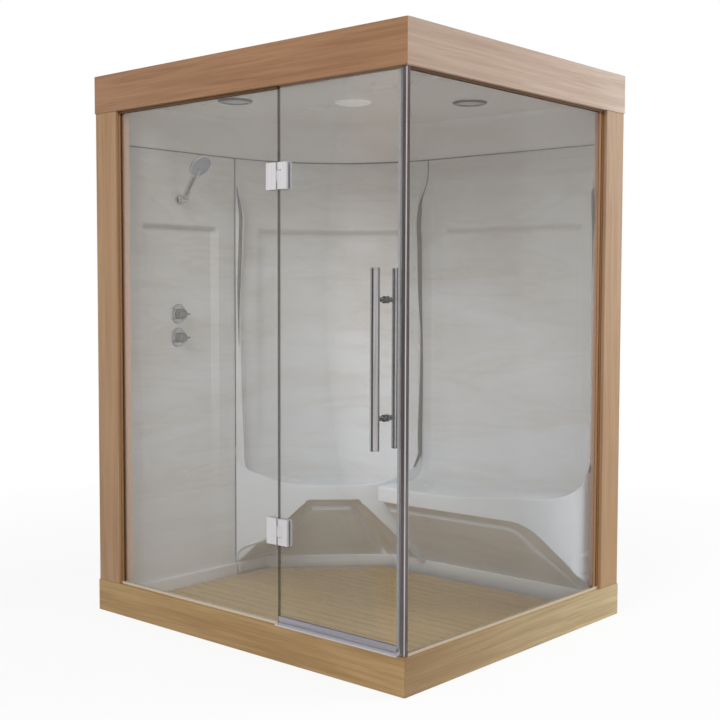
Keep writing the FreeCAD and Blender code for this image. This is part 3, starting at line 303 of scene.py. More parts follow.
def make_piece(name, grids, material, body, stands_for=(), ring=False, wall=0.0):
    """One object from point grids (rows, columns, 3). With a wall, they are open sheets of that thickness.
    Otherwise they are tubes with a flat face at each end, or closed rings."""
    points, faces, first = [], [], 0
    for grid in grids:
        rows, columns = grid.shape[:2]
        faces += grid_quads(rows, columns, not wall, ring, first).tolist()
        if not wall and not ring:
            start = np.arange(columns) + first
            faces += [start[::-1].tolist(), (start + (rows - 1) * columns).tolist()]
        points.append(grid.reshape(-1, 3))
        first += rows * columns
    mesh = bpy.data.meshes.new(name)
    mesh.from_pydata(np.concatenate(points).tolist(), [], faces)
    mesh.shade_smooth()
    mesh.set_sharp_from_angle(angle=SHARP_FROM)
    mesh.materials.append(bpy.data.materials[material])
    piece = bpy.data.objects.new(name, mesh)
    scene.collection.objects.link(piece)
    if wall:
        thick = piece.modifiers.new("wall", "SOLIDIFY")
        thick.thickness, thick.offset = wall, -1
    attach(piece, body)
    if stands_for:
        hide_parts(*stands_for)
    print(name, "faces", len(faces))
    return piece


print("mesh helpers ready")

# %% [markdown]
# ## Moulded acrylic
# The walls and seats are vacuum-formed acrylic with a faint stone-like veining, as in cast marble. Flat white
# would look like plaster, so the veins are wide slow bands in a slightly warmer and a slightly cooler tone.
# The acrylic is painted paler as a painted highlight on each raised bead, over the seats' front edges and
# towards the bench's curled end, and painted grey as painted shade under the upper bevel of each pressed
# dish. Numbers stored on the mesh say where.

# %% Acrylic materials
veins, given, put = start_group("stone_veins", Vector="Vector", Pale="Color", Warm="Color", Bead="Float",
                                Film="Float")
drift = noise(stretch(given["Vector"], (0.7, 0.7, 2.6)), 1.5, 3.0, 0.5, 1.2)
line = noise(stretch(given["Vector"], (0.9, 0.9, 5.0)), 2.1, 5.0, 0.55, 0.8)
haze = ramp(drift, 0.32, 0.72, 0.0, 0.75)
thread = reckon("ABSOLUTE", reckon("SUBTRACT", line, 0.5))
thread = ramp(thread, 0.0, 0.05, 0.22, 0.0)
share = reckon("ADD", haze, thread)
# Painted shade: the veins take more of the warmer, darker tone higher up the walls and less near the floor.
warm_shade_up = ramp(axes(given["Vector"])[2], 0.8, 1.9, -0.25, 0.4)
share = reckon("ADD", share, warm_shade_up, clamp=True)
veined = mix_colour(share, given["Pale"], given["Warm"])
# Painted highlight: the colour is mixed towards a cool white where the mesh marks it.
veined = mix_colour(reckon("MULTIPLY", given["Bead"], 0.9), veined, (0.95, 0.97, 1.0, 1))
# Painted shade: the colour is mixed towards grey where the mesh marks it, under the dishes' upper bevels.
grey = reckon("MULTIPLY", given["Film"], ramp(line, 0.3, 0.7, 0.45, 0.65))
wire(put, Color=mix_colour(grey, veined, paint(150, 142, 132)),
     Roughness=ramp(drift, 0.3, 0.7, 0.2, 0.3), Height=noise(given["Vector"], 7.0, 2.0))


def acrylic(name, pale, warm):
    """Glossy moulded acrylic with veins, which reads from the mesh where to lay a painted highlight and
    painted shade.
    """
    shader = start_material(name)
    # The bead attribute marks the painted highlight, and the film attribute marks the painted shade.
    bead, film = (add_node(shader, "Attribute", attribute_name=kind).outputs["Fac"]
                  for kind in ("bead", "film"))
    dress(shader, veins, 0.0006, Vector=place(shader), Pale=paint(*pale), Warm=paint(*warm), Bead=bead,
          Film=film)
    wire(shader, Specular_IOR_Level=0.5, IOR=1.49)


acrylic("shell_acrylic", (241, 240, 240), (222, 214, 203))
acrylic("lid_acrylic", (244, 240, 235), (238, 230, 221))
acrylic("tray_white", (234, 232, 228), (220, 217, 210))
print("acrylic nodes", len(veins.nodes))

# %% [markdown]
# ## Left wall panel
# The shower wall is a flat sheet with a shallow dish pressed into it, which fades out towards the floor, a
# raised rim beside the post and a skirting. As a grid over depth and height, each of these is one term added
# to the distance from the wall. The grid lines are placed on the bevels, so that they stay crisp.

# %% Dish helpers
WALL_X, WALL_Y, WALL_TOP, PANEL_FOOT = -0.755, 0.633, 1.9265, 0.012
PANEL_FRONT, PANEL_BACK, RIM_BACK = -0.639, 0.0125, -0.585
SKIRT_TOP, SKIRT_PROUD = 0.087, 0.012
DISH_TOP, DISH_DEPTH, DISH_BEVEL, STEEP = 1.615, 0.012, 0.040, 2.0
DISH_MARKS = DISH_TOP - DISH_BEVEL / STEEP, DISH_TOP
DISH_FADE, DISH_LEAST = (0.2, 1.2), 0.3
# Where the painted shade sits below a dish's top edge, and how its band fades.
SHADE_BELOW, SHADE_CORE, SHADE_EDGE = 0.012, 0.006, 0.016
SHEET, ROLL, BESIDE, CLEAR = 0.005, 0.005, 0.003, 0.0025
RIM = mm([[1600, 1740, 1820], [33, 21, 0]])
ROLL_MARK = WALL_TOP - 0.003


def smooth_step(value, low, high):
    """0 below low, 1 above high and an S-shaped rise between them."""
    t = np.clip((value - low) / (high - low), 0, 1)
    return t * t * (3 - 2 * t)


def dish(a, z, box):
    """Depth of a bevelled dish: the distance inside the box, up to the bevel's width, as a share of its
    depth. The distance from the top counts more, so that the upper bevel is steeper."""
    a0, a1, z0, z1 = box
    inside = np.minimum(np.minimum(a - a0, a1 - a), np.minimum(z - z0, (z1 - z) * STEEP))
    return DISH_DEPTH * np.clip(inside / DISH_BEVEL, 0, 1)


def bevel_shade(a, z, box):
    """Where painted shade goes: a soft band on the upper bevel, between the dish's sides."""
    a0, a1, _, z1 = box
    across = smooth_step(np.minimum(a - a0, a1 - a), 0.004, 0.020)
    return across * (1 - smooth_step(np.abs(z - z1 + SHADE_BELOW), SHADE_CORE, SHADE_EDGE))


def bevel_lines(box):
    """Where the two side bevels of a dish start and end."""
    return np.array([box[0], box[0] + DISH_BEVEL, box[1] - DISH_BEVEL, box[1]])


print("dish", DISH_DEPTH, "bevel", DISH_BEVEL)

# %% Sheet helpers
def mark(piece, name, shares):
    """Store one number per point of a piece, for its material to read."""
    kept = piece.data.attributes.new(name, "FLOAT", "POINT")
    kept.data.foreach_set("value", shares.astype(np.float32).ravel())


def lines(low, high, count, *marks):
    """Grid lines from low to high with extra ones just beside each mark."""
    beside = np.array([m + d for m in marks for d in (-BESIDE, 0.0, BESIDE)])
    even = np.linspace(low, high, count)
    even = even[np.abs(even[:, None] - beside).min(1) > CLEAR]
    every = np.concatenate([[low, high], even, beside[(beside > low) & (beside < high)]])
    return np.unique(np.round(every, 5))


def rolled(distance):
    """How far a sheet's edge rolls back near its border: a quarter circle."""
    t = np.clip(1 - distance / ROLL, 0, 1)
    return ROLL * (1 - np.sqrt(1 - t * t))


print("sheet", SHEET, "rolled by", ROLL)

# %% Left wall
left_dish = (-0.517, -0.085, 0.160, DISH_TOP)
y = lines(PANEL_FRONT, PANEL_BACK, 60, *bevel_lines(left_dish), PANEL_BACK - 0.002)
z = lines(PANEL_FOOT, WALL_TOP, 90, SKIRT_TOP, *DISH_MARKS, ROLL_MARK)
Y, Z = np.meshgrid(y, z, indexing="ij")
proud = np.interp(Z, *RIM) * (1 - smooth_step(Y, PANEL_FRONT, RIM_BACK))
proud = proud + SKIRT_PROUD * (1 - smooth_step(Z, SKIRT_TOP - 0.004, SKIRT_TOP + 0.001))
proud = proud - dish(Y, Z, left_dish) * (DISH_LEAST + (1 - DISH_LEAST) * smooth_step(Z, *DISH_FADE))
proud = proud - rolled(WALL_TOP - Z) - rolled(PANEL_BACK - Y)
left_wall = np.stack([WALL_X + proud, Y, Z], -1)
shower_wall = make_piece("left_wall", [left_wall[:, ::-1]], "shell_acrylic", "cabin",
                         ["left_wall_panel"], wall=SHEET)
# Painted shade under the upper bevel of the wall's dish.
mark(shower_wall, "film", bevel_shade(Y, Z, left_dish)[:, ::-1])

# %% [markdown]
# ## Moulded seats
# Each seat, its back and the raised wings at its sides are one moulding, drawn as many upright cuts side by
# side. Each cut is one line: down the wall, round the back of the seat, over the rounded front edge, down the
# apron, along the sloping kick and down the skirting. A bead is then raised on the kick.

# %% Soft corners
def unit(vector):
    """A vector made one long."""
    vector = np.asarray(vector, float)
    return vector / np.maximum(np.linalg.norm(vector, axis=-1, keepdims=True), 1e-9)


def rounded(points, radii, steps=5):
    """A line with soft corners: each inner corner becomes a quadratic curve between a point the radius
    before it and a point the radius after it, at most to the middle of the shorter side."""
    points = np.asarray(points, float)
    corner = points[..., 1:-1, :]
    before = points[..., :-2, :] - corner
    after = points[..., 2:, :] - corner
    room = np.minimum(np.linalg.norm(before, axis=-1), np.linalg.norm(after, axis=-1)) / 2
    reach = np.minimum(np.asarray(radii), room)[..., None]
    start = (corner + unit(before) * reach)[..., None, :]
    end = (corner + unit(after) * reach)[..., None, :]
    t = np.linspace(0, 1, steps)[:, None]
    curve = (1 - t) ** 2 * start + 2 * t * (1 - t) * corner[..., None, :] + t ** 2 * end
    curve = curve.reshape(*points.shape[:-2], -1, points.shape[-1])
    return np.concatenate([points[..., :1, :], curve, points[..., -1:, :]], -2)


print("soft corners ready")

# %% Seat cuts
WALL_FOOT, LEDGE, BEHIND = 0.66, 0.030, -0.006
wall_rows = lines(WALL_FOOT, WALL_TOP, 70, WALL_FOOT + 0.04, *DISH_MARKS, ROLL_MARK)[::-1]


def averaged(z, heights, values, spread=0.03):
    """A table read at height z and smoothed by taking the mean over a short range."""
    shifts = np.linspace(-spread, spread, 7)
    return np.mean([np.interp(z + s, heights, values) for s in shifts], axis=0)


def under_seat(reach, edge, apron, skirt, back_out, start_out, ledge):
    """Points from the wall's foot down to the floor, as distance from the wall and height: over the seat and
    its nose, down the apron, along the sloping kick in small steps, and down the skirting."""
    def pair(out, z):
        """One point of every cut."""
        return np.stack(np.broadcast_arrays(out, z + 0 * reach), -1)

    head = pair(reach - np.minimum(ledge, 0.5 * (reach - skirt)), apron)
    foot = pair(skirt - 0.010, SKIRT_TOP)
    run = foot - head
    over = [pair(start_out, WALL_FOOT), pair(back_out, edge + 0.003), pair(reach, edge), pair(reach, apron),
            head, head + 0.05 * run]
    t = np.concatenate([np.linspace(0.06, 0.24, 28), np.linspace(0.26, 0.97, 34)])[:, None]
    down = [foot - 0.02 * run, foot, pair(skirt, SKIRT_TOP), pair(skirt, PANEL_FOOT)]
    return np.concatenate([rounded(np.stack(over, 1), [0.085, 0.014, 0.008, 0.004], 7),
                           head[:, None] + run[:, None] * t,
                           rounded(np.stack(down, 1), [0.004, 0.003], 7)], 1)


def upright_cuts(along_wall, box, wing, reach, edge, apron, skirt, ledge=LEDGE):
    """Cuts as distance from the wall and height: the wall with wings, dish and rolled top, then the seat."""
    high = np.broadcast_to(wall_rows, (len(reach), len(wall_rows)))
    wall_out = wing(high) - dish(along_wall[:, None], high, box) - rolled(WALL_TOP - high)
    back_out = np.minimum(wing((edge + 0.02)[:, None])[:, 0], reach - 0.004)
    lower = under_seat(reach, edge, apron, skirt, back_out, wall_out[:, -1], ledge)
    return np.concatenate([np.stack([wall_out, high], -1), lower[:, 1:]], 1)


def with_sides(cuts):
    """The cuts with one more at each end, lying behind the wall, which closes the sides of the moulding."""
    cuts = np.concatenate([cuts[:1], cuts, cuts[-1:]])
    cuts[[0, -1], :, 0] = BEHIND
    return cuts


print("wall rows", len(wall_rows))

# %% Bead and seat maker
BEAD_WIDTH, BEAD_HEIGHT = 0.036, 0.020
# Rows round the seat's nose and apron that get a painted highlight.
LIT_NOSE_ROWS = [3, 7, 16, 20]


def raised(surface, path):
    """The surface with a rounded bead along a path. Each point moves out along its normal, by the full height
    on the path and by nothing from half the bead's width away, with a cosine between. The bead sinks in at
    the skirting, and the closing cut at each end stays."""
    inner = surface[1:-1]
    start, run = path[:-1], path[1:] - path[:-1]
    offset = inner[..., None, :] - start
    t = np.clip((offset * run).sum(-1) / (run ** 2).sum(-1), 0, 1)
    gap = np.linalg.norm(offset - t[..., None] * run, axis=-1).min(-1)
    out = unit(np.cross(np.gradient(inner, axis=0), np.gradient(inner, axis=1)))
    share = np.cos(np.clip(gap / BEAD_WIDTH, 0, 0.5) * np.pi) ** 2
    share = share * smooth_step(inner[..., 2], SKIRT_TOP, SKIRT_TOP + 0.020)
    moved = surface.copy()
    moved[1:-1] = inner + out * (BEAD_HEIGHT * share)[..., None]
    return moved, np.pad(np.sqrt(share), ((1, 1), (0, 0)))


def mould(name, node, surface, bead, film, lit_end=0.0):
    """Raise the bead on a seat and make the seat, with a painted highlight on the bead, over the nose and
    towards a lit end.
    """
    surface, share = raised(surface, bead)
    # Painted highlight: paler on the bead, over the nose and apron rows, and on the rows below the nose
    # towards the lit end.
    row = np.arange(share.shape[1]) - len(wall_rows)
    pale = np.maximum(share, np.interp(row, LIT_NOSE_ROWS, [0, 1, 1, 0]))
    piece = make_piece(name, [surface], "shell_acrylic", "cabin", [node], wall=SHEET)
    mark(piece, "bead", np.maximum(pale, lit_end * (row > LIT_NOSE_ROWS[1])))
    # Painted shade under the dish's upper bevel.
    mark(piece, "film", film)


print("bead", BEAD_WIDTH, "by", BEAD_HEIGHT)

# %% [markdown]
# ## Corner seat
# The cuts of the corner seat fan out from the middle of the room, and the seat's front edge is a flat arc in
# plan. Near the two seams the wall bulges into a wing and the front edge climbs to meet it.

# %% Corner seat plan
CENTRE, RADIUS = np.array([-0.135, 0.013]), 0.620
SEAT_END, SEAT_DEPTH, APRON_FOOT, APRON_RISE, CHAMFER = 0.050, 0.383, 0.405, 0.375, 0.560
WING_WIDTH, FLANK, DISH_FROM = 0.060, 0.020, 0.20
WING_LEFT = mm([[550, 619, 660, 800, 1000, 1222, 1335, 1448, 1560, 1671, 1739, 1785, 1880],
                [52, 50, 46, 34, 26, 18, 22, 34, 46, 56, 24, 2, 0]])
WING_BACK = mm([[500, 588, 654, 742, 973, 1156, 1337, 1517, 1638, 1700, 1760, 1814, 1860],
                [56, 58, 62, 58, 48, 50, 75, 95, 112, 97, 45, 10, 0]])
CLIMB_LEFT = mm([[50, 100, 160, 264, 330], [620, 547, 508, 480, 473]])
CLIMB_RIGHT = mm([[50, 93, 174, 264, 330], [592, 534, 508, 482, 473]])


def polar(radius, angle):
    """Plan point at a distance from the corner's centre; angle 0 points at the left wall."""
    return np.stack([CENTRE[0] - radius * np.cos(angle), CENTRE[1] + radius * np.sin(angle)], -1)


ends = polar(RADIUS - SEAT_END, np.array([0.0, np.pi / 2]))
chord = ends.mean(0)
half = np.linalg.norm(ends[0] - chord)
rise = np.linalg.norm(polar(RADIUS - SEAT_DEPTH, np.pi / 4) - chord)
arc_radius = (half ** 2 + rise ** 2) / (2 * rise)
hub = polar(RADIUS - SEAT_DEPTH + arc_radius, np.pi / 4)
# The cuts lie closer near both ends and where the bead turns.
t = np.linspace(0, 1, 121)
k = 0.25 * t + 0.75 * (0.5 - 0.5 * np.cos(np.pi * t))
k = np.unique(np.round(np.concatenate([k, np.linspace(0.36, 0.43, 26), np.linspace(0.57, 0.64, 26)]), 5))
first_angle, last_angle = (np.arctan2(*(e - hub)[::-1]) for e in ends)
sweep = first_angle + (last_angle - first_angle) * k
front = hub + arc_radius * np.stack([np.cos(sweep), np.sin(sweep)], -1)
from_centre = front - CENTRE
phi = np.arctan2(from_centre[:, 1], -from_centre[:, 0])
reach = RADIUS - np.linalg.norm(from_centre, axis=-1)
edge = np.where(k < 0.5, np.interp(reach, *CLIMB_LEFT), np.interp(reach, *CLIMB_RIGHT))
seat_end = np.concatenate([front, edge[:, None]], -1)[(k > 0.5) & (reach < 0.095)][::-1]
apron = SKIRT_TOP + (APRON_FOOT - SKIRT_TOP) * np.clip(np.minimum(k, 1 - k) / APRON_RISE, 0, 1)
apron = np.convolve(np.pad(apron, 2, "edge"), np.ones(5) / 5, "valid")
ray = np.stack([(RADIUS - SKIRT_PROUD) / np.maximum(np.cos(phi), 1e-6), CHAMFER / np.cos(phi - np.pi / 4),
                (RADIUS - SKIRT_PROUD) / np.maximum(np.sin(phi), 1e-6)]).min(0)
arc_length = RADIUS * phi
near_left = 1 - smooth_step(arc_length, 0.0, WING_WIDTH)
near_back = 1 - smooth_step(RADIUS * np.pi / 2 - arc_length, 0.0, WING_WIDTH)
print("corner cuts", len(k))

# %% Corner seat
def corner_wing(z):
    """Distance of the corner wall from its plain round at height z, from both wings."""
    return averaged(z, *WING_LEFT) * near_left[:, None] + averaged(z, *WING_BACK) * near_back[:, None]


corner_dish = (DISH_FROM * RADIUS, (np.pi / 2 - DISH_FROM) * RADIUS, 0.64, DISH_TOP)
cuts = upright_cuts(arc_length, corner_dish, corner_wing, reach, edge, apron, RADIUS - ray)
cuts[..., 0] *= smooth_step(arc_length, -0.004, FLANK)[:, None]
cuts = with_sides(cuts)
fan = np.pad(phi, 1, "edge")[:, None]
corner_seat = np.concatenate([polar(RADIUS - cuts[..., 0], fan), cuts[..., 1:]], -1)
corner_bead = mm([(-719, 233, 87), (-571, 190, 233), (-428, 163, 360), (-378, 208, 360), (-330, 256, 360),
                  (-292, 297, 360), (-325, 444, 227), (-354, 594, 90)])
# Painted shade under the dish's upper bevel, at six tenths of its full strength.
mould("corner_seat", "corner_seat_panel", corner_seat, corner_bead,
      bevel_shade(RADIUS * fan, cuts[..., 1], corner_dish) * 0.6)

# %% [markdown]
# ## Bench
# The bench is made in the same way, with straight cuts side by side along the back wall. Its right end curls
# back to the wall, so the reach of each cut follows a quarter circle there.

# %% Bench plan
BENCH_LEFT, BENCH_RIGHT, BENCH_DEPTH, CURL, CURL_FROM = -0.1345, 0.769, 0.343, 0.170, 0.599
DISH_INSET = 0.09
WING_SEAM = ([0.473, 0.5, *WING_BACK[0][1:]], [0.0, 0.035, *WING_BACK[1][1:]])
WING_RIGHT = mm([[540, 556, 575, 598, 630, 667, 750, 891, 1297, 1578, 1736, 1800, 1860],
                 [168, 140, 112, 90, 73, 63, 56, 53, 64, 76, 90, 30, 0]])

bench_dish = (BENCH_LEFT + DISH_INSET, BENCH_RIGHT - DISH_INSET, 0.563, DISH_TOP)
bevels = bevel_lines(bench_dish)
# The cuts lie closer on the wing, where the bead turns, round the curl and beside the bevels.
wing_end = BENCH_LEFT + WING_WIDTH
x = np.concatenate([np.linspace(BENCH_LEFT, wing_end, 20, endpoint=False),
                    np.linspace(wing_end, 0.50, 40, endpoint=False), np.linspace(0.50, 0.70, 60),
                    CURL_FROM + CURL * np.sin(np.linspace(0.65, np.pi / 2, 41)),
                    bevels - BESIDE, bevels, bevels + BESIDE])
x = np.unique(np.round(x, 5))
bent = np.arcsin(np.clip((x - CURL_FROM) / CURL, 0, 1))
reach = BENCH_DEPTH - CURL + CURL * np.cos(bent)
along_front = np.minimum(x, CURL_FROM) + CURL * bent
edge = averaged(along_front, *mm([[200, 300, 450, 550, 600, 660, 720, 748, 797, 834, 866, 900],
                                  [474, 477, 493, 503, 507, 509, 510, 514, 522, 533, 545, 560]]))
apron = averaged(along_front, *mm([[590, 630, 661, 695, 720, 748, 774, 797, 817, 834, 866, 900],
                                   [405, 394, 380, 351, 326, 297, 272, 251, 232, 217, 191, 163]]))
near_seam = 1 - smooth_step(x, BENCH_LEFT, BENCH_LEFT + 0.030)
near_right = smooth_step(x, BENCH_RIGHT - WING_WIDTH, BENCH_RIGHT)
print("bench cuts", len(x))

# %% Bench
def bench_wing(z):
    """Distance of the bench wall from its plain face at height z, from both wings."""
    at_seam, at_right = averaged(z, *WING_SEAM), averaged(z, *WING_RIGHT, 0.012)
    return at_seam * near_seam[:, None] + at_right * near_right[:, None]


ledge = 0.002 + (LEDGE - 0.002) * (1 - smooth_step(bent, 0.9, 1.45))
cuts = with_sides(upright_cuts(x, bench_dish, bench_wing, reach, edge, apron, SKIRT_PROUD + 0 * x, ledge))
stations = np.pad(x, 1, "edge")[:, None]
bench = np.stack([stations + 0 * cuts[..., 0], WALL_Y - cuts[..., 0], cuts[..., 1]], -1)
bench_bead = mm([(-140, 361, 363), (501, 361, 363), (535, 376, 348), (584, 460, 262), (652, 549, 167),
                 (693, 614, 103)])
# The bench's curled end is painted paler as a painted highlight, and its dish's upper bevel gets half the
# painted shade.
mould("bench", "back_bench_panel", bench, bench_bead, bevel_shade(stations, cuts[..., 1], bench_dish) * 0.5,
      0.9 * smooth_step(np.pad(bent, 1, "edge"), 0.2, 0.9)[:, None])

# %% [markdown]
# ## Ceiling lid
# The lid is a shallow upturned tray: an upright band above the walls, a hollow curve and the flat ceiling.
# The curve is tight along the walls and wide round the corner. The flat part runs as a fan to the front right
# corner, where the fascia hides its edge.

# %% Ceiling lid
CEILING, LID_FOOT, LID_FRONT, LID_RIGHT = 2.092, 1.9275, -0.645, 0.775
LEFT_CUTS, BACK_CUTS, COVE_LEAST, COVE_MORE = 30, 36, 0.028, 0.110
turn = np.linspace(0, np.pi / 2, 61)[1:-1]
straight_left = np.stack([np.full(LEFT_CUTS, WALL_X), np.linspace(LID_FRONT, CENTRE[1], LEFT_CUTS)], -1)
straight_back = np.stack([np.linspace(CENTRE[0], LID_RIGHT, BACK_CUTS), np.full(BACK_CUTS, WALL_Y)], -1)
plan = np.concatenate([straight_left, polar(RADIUS, turn), straight_back])
inward = np.concatenate([np.tile((1.0, 0.0), (LEFT_CUTS, 1)), unit(CENTRE - polar(RADIUS, turn)),
                         np.tile((0.0, -1.0), (BACK_CUTS, 1))])
around = np.pad(np.minimum(turn, np.pi / 2 - turn) * RADIUS, (LEFT_CUTS, BACK_CUTS), constant_values=-0.1)
cove = (COVE_LEAST + COVE_MORE * smooth_step(around, -0.01, 0.09))[:, None]
bend = np.linspace(0, np.pi / 2, 13)
lid_in = np.concatenate([np.tile([-0.005, -0.0015, 0.0], (len(plan), 1)), cove * (1 - np.cos(bend))], 1)
lid_z = np.concatenate([np.tile([LID_FOOT, LID_FOOT + 0.0015, LID_FOOT + 0.005], (len(plan), 1)),
                        CEILING - cove * (1 - np.sin(bend))], 1)
lid_plan = plan[:, None, :] + inward[:, None, :] * lid_in[..., None]
shell = np.concatenate([lid_plan, lid_z[..., None]], -1)
far = np.array([LID_RIGHT, LID_FRONT, CEILING])
flat = np.linspace(0.03, 0.97, 8)[None, :, None]
shell = np.concatenate([shell, shell[:, -1:] * (1 - flat) + far * flat], 1)
make_piece("ceiling_lid", [shell[:, ::-1]], "lid_acrylic", "cabin", ["ceiling_panel"],
           wall=SHEET)

# %% [markdown]
# ## Seam bars
# Thin grey sealant bars run under the lid and down each plain seam; their dark grey is also painted shade,
# the shadow in the joint. A fatter grey bar in the hollow beside the crest of each wing is painted shade
# alone. Each is a round bar whose radius changes along its path.

# %% Seam bar helpers
THIN = [0, 2000], [1.8, 1.8]


def circle(count):
    """Equal angles once round."""
    return np.linspace(0, 2 * np.pi, count, endpoint=False)


def tube(path, radii, across, around=16):
    """A round bar along a path: at each point a ring of that radius, square to the path."""
    path = np.asarray(path, float)
    run = unit(np.gradient(path, axis=0))
    side = unit(np.cross(run, across))
    other = np.cross(run, side)
    angle = circle(around)[None, :, None]
    ring = np.cos(angle) * side[:, None, :] + np.sin(angle) * other[:, None, :]
    return path[:, None, :] + np.asarray(radii, float).reshape(-1, 1, 1) * ring


def soft(name, pale, dark, rough, cover=1.0, fine=90.0, spread=0.12, depth=0.0001):
    """Plastic, rubber or frosted glass: a faint mottle in colour, roughness and height."""
    shader = start_material(name)
    mottle = noise(place(shader), fine, 3.0)
    wire(shader, Base_Color=mix_colour(mottle, paint(*pale), paint(*dark)), Alpha=cover,
         Roughness=ramp(mottle, 0.2, 0.8, rough, rough + spread), Normal=bump(mottle, depth))
    return shader


def gasket(path, heights, radii):
    """A grey bar along a seam; the two lists, in mm, give its radius at each height."""
    return tube(path, averaged(path[:, 2], mm(heights), mm(radii), 0.02), (0.3, 0.9, 0.2), 14)


def points(x, y, z):
    """Points along a seam; x and y may be one number for all heights."""
    return np.stack(np.broadcast_arrays(x, y, z), -1)


print("thin gasket", THIN[1][0], "mm in radius")

# %% Seam bars
# The bars' grey is painted shade, dark enough to stand for the shadow in each joint and beside each wing's
# crest.
soft("seam_rubber", (136, 130, 122), (118, 112, 104), 0.7)
spans = (1.08, 1.80), (1.78, 0.63), (0.60, 1.76), (SKIRT_TOP, WALL_TOP), (1.77, WALL_TOP)
left_z, back_z, right_z, panel_z, bench_z = (np.linspace(*span, 140) for span in spans)
# Half way up the flank of the left wing.
left_seam = points(WALL_X + 0.5 * averaged(left_z, *WING_LEFT) + 0.004, CENTRE[1] + 0.008, left_z)
# On the bench side of the seam, lower down the wing's flank where the wing stands out more.
crest = averaged(back_z, *WING_SEAM)
beside = np.interp(crest, [0.05, 0.10], [0.004, 0.010])
out = crest * (1 - smooth_step(beside, 0.0, 0.030)) + 0.002
back_seam = np.concatenate([points(BENCH_LEFT + beside, WALL_Y - out, back_z),
                            seat_end[1:] + (0.003, -0.001, 0.0)])
# Along the bench's right edge, beside the left panel, straight up the bench's joint, and under the lid.
right_seam = points(BENCH_RIGHT - 0.002, WALL_Y - averaged(right_z, *WING_RIGHT, 0.012) + 0.003, right_z)
panel_seam = points(WALL_X + 0.001, PANEL_BACK + 0.0002, panel_z)
bench_seam = points(BENCH_LEFT, WALL_Y - averaged(bench_z, *WING_SEAM) - 0.001, bench_z)
top_seam = np.concatenate([plan + inward * 0.001, np.full((len(plan), 1), WALL_TOP + 0.0005)], -1)
# The first three bars are painted shade in the hollows beside the wing crests; the last three are thin
# sealant bars.
gaskets = [
    gasket(left_seam, [1080, 1250, 1360, 1660, 1730, 1800], [0.6, 4, 7.5, 8.5, 6, 0.6]),
    gasket(back_seam, [530, 550, 580, 650, 790, 950, 1160, 1340, 1520, 1680, 1720, 1780],
           [2, 6, 8, 10, 9, 7, 5, 9, 11, 11, 8, 0.6]),
    gasket(right_seam, [600, 660, 760, 1000, 1300, 1450, 1700, 1760], [6, 7, 4, 3, 3, 6, 6, 1]),
    gasket(panel_seam, *THIN), gasket(bench_seam, *THIN),
    tube(top_seam, np.full(len(plan), 0.0020), (0, 0, 1.0), 8),
]
make_piece("seam_seals_and_shade", gaskets, "seam_rubber", "cabin")

# %% [markdown]
# ## Duckboard
# The floor is a duckboard of 45 mm slats with small gaps. Each slat is a rounded profile carried along X. The
# left end of each point of the profile follows the skirting and its corner chamfer, and the two slats at the
# steam outlet stop either side of it.

# %% Slats
SLAT_COUNT, SLAT_FIRST, SLAT_PITCH, SLAT_WIDTH = 23, -0.636, 0.0535, 0.045
SLAT_LOW, SLAT_HIGH, SLAT_RIGHT, SLAT_GAP, SLAT_ROUND = 0.021, 0.035, 0.766, 0.004, 0.0028
OUTLET_SLATS, OUTLET_LEFT, OUTLET_RIGHT = 2, -0.486, -0.414


def slat_left(y):
    """Left end of the floor at depth y: along the skirting, then along its chamfer."""
    chamfer = CENTRE[0] + (y - CENTRE[1]) - CHAMFER * math.sqrt(2) + SLAT_GAP * math.sqrt(2)
    return np.maximum(WALL_X + SKIRT_PROUD + SLAT_GAP, chamfer)


def slat(y0, x0, x1):
    """A slat from x0 to x1, as a rounded rectangle carried along X; a start of None follows the wall."""
    y1 = y0 + SLAT_WIDTH
    square = [(y0, SLAT_LOW + 0.007), (y0, SLAT_HIGH), (y1, SLAT_HIGH), (y1, SLAT_LOW), (y0, SLAT_LOW),
              (y0, SLAT_LOW + 0.0069)]
    outline = rounded(square, SLAT_ROUND, 4)[:-1]
    start = slat_left(outline[:, 0]) if x0 is None else x0 + 0 * outline[:, 0]
    share = np.array([0.0, 0.002, 0.998, 1.0])[:, None]
    run = start + (x1 - start) * share
    return np.stack([run, *(np.broadcast_to(c, run.shape) for c in outline.T)], -1)[:, ::-1]


slats = []
for number in range(SLAT_COUNT):
    depth = SLAT_FIRST + SLAT_PITCH * number
    if number < OUTLET_SLATS:
        slats += [slat(depth, None, OUTLET_LEFT), slat(depth, OUTLET_RIGHT, SLAT_RIGHT)]
    else:
        slats.append(slat(depth, None, SLAT_RIGHT))
make_piece("slats", slats, "slat_wood", "cabin", ["duckboard_slats"])

# %% [markdown]
# ## Metal
# Bars, hinges and taps are polished. Real polish has a direction: very fine lines along the part and faint
# smears. One group draws both, and each material gives it the direction of its own lines.

# %% Metal materials
polish, given, put = start_group("polish_lines", Vector="Vector", Pale="Color", Dark="Color", Smooth="Float",
                                 Worn="Float")
fine = noise(given["Vector"], 4.0, 3.0, 0.6)
smear = ramp(noise(given["Vector"], 0.35, 3.0, 0.5), 0.35, 0.65)
span = reckon("SUBTRACT", given["Worn"], given["Smooth"])
wire(put, Color=mix_colour(ramp(fine, 0.3, 0.7), given["Pale"], given["Dark"]),
     Roughness=reckon("ADD", given["Smooth"], reckon("MULTIPLY", span, smear)), Height=fine)
DRAWN = {"x": (1.0, 60.0, 60.0), "y": (60.0, 1.0, 60.0), "z": (60.0, 60.0, 1.0)}


def metal(name, pale, dark, lines_along="z", smooth=0.08, worn=0.2, shine=1.0):
    """Polished metal with fine lines along one axis; a plated or lacquered face has less shine."""
    shader = start_material(name)
    vector = stretch(place(shader), DRAWN[lines_along])
    dress(shader, polish, 0.00001, Vector=vector, Pale=paint(*pale), Dark=paint(*dark), Smooth=smooth,
          Worn=worn)
    wire(shader, Metallic=shine)


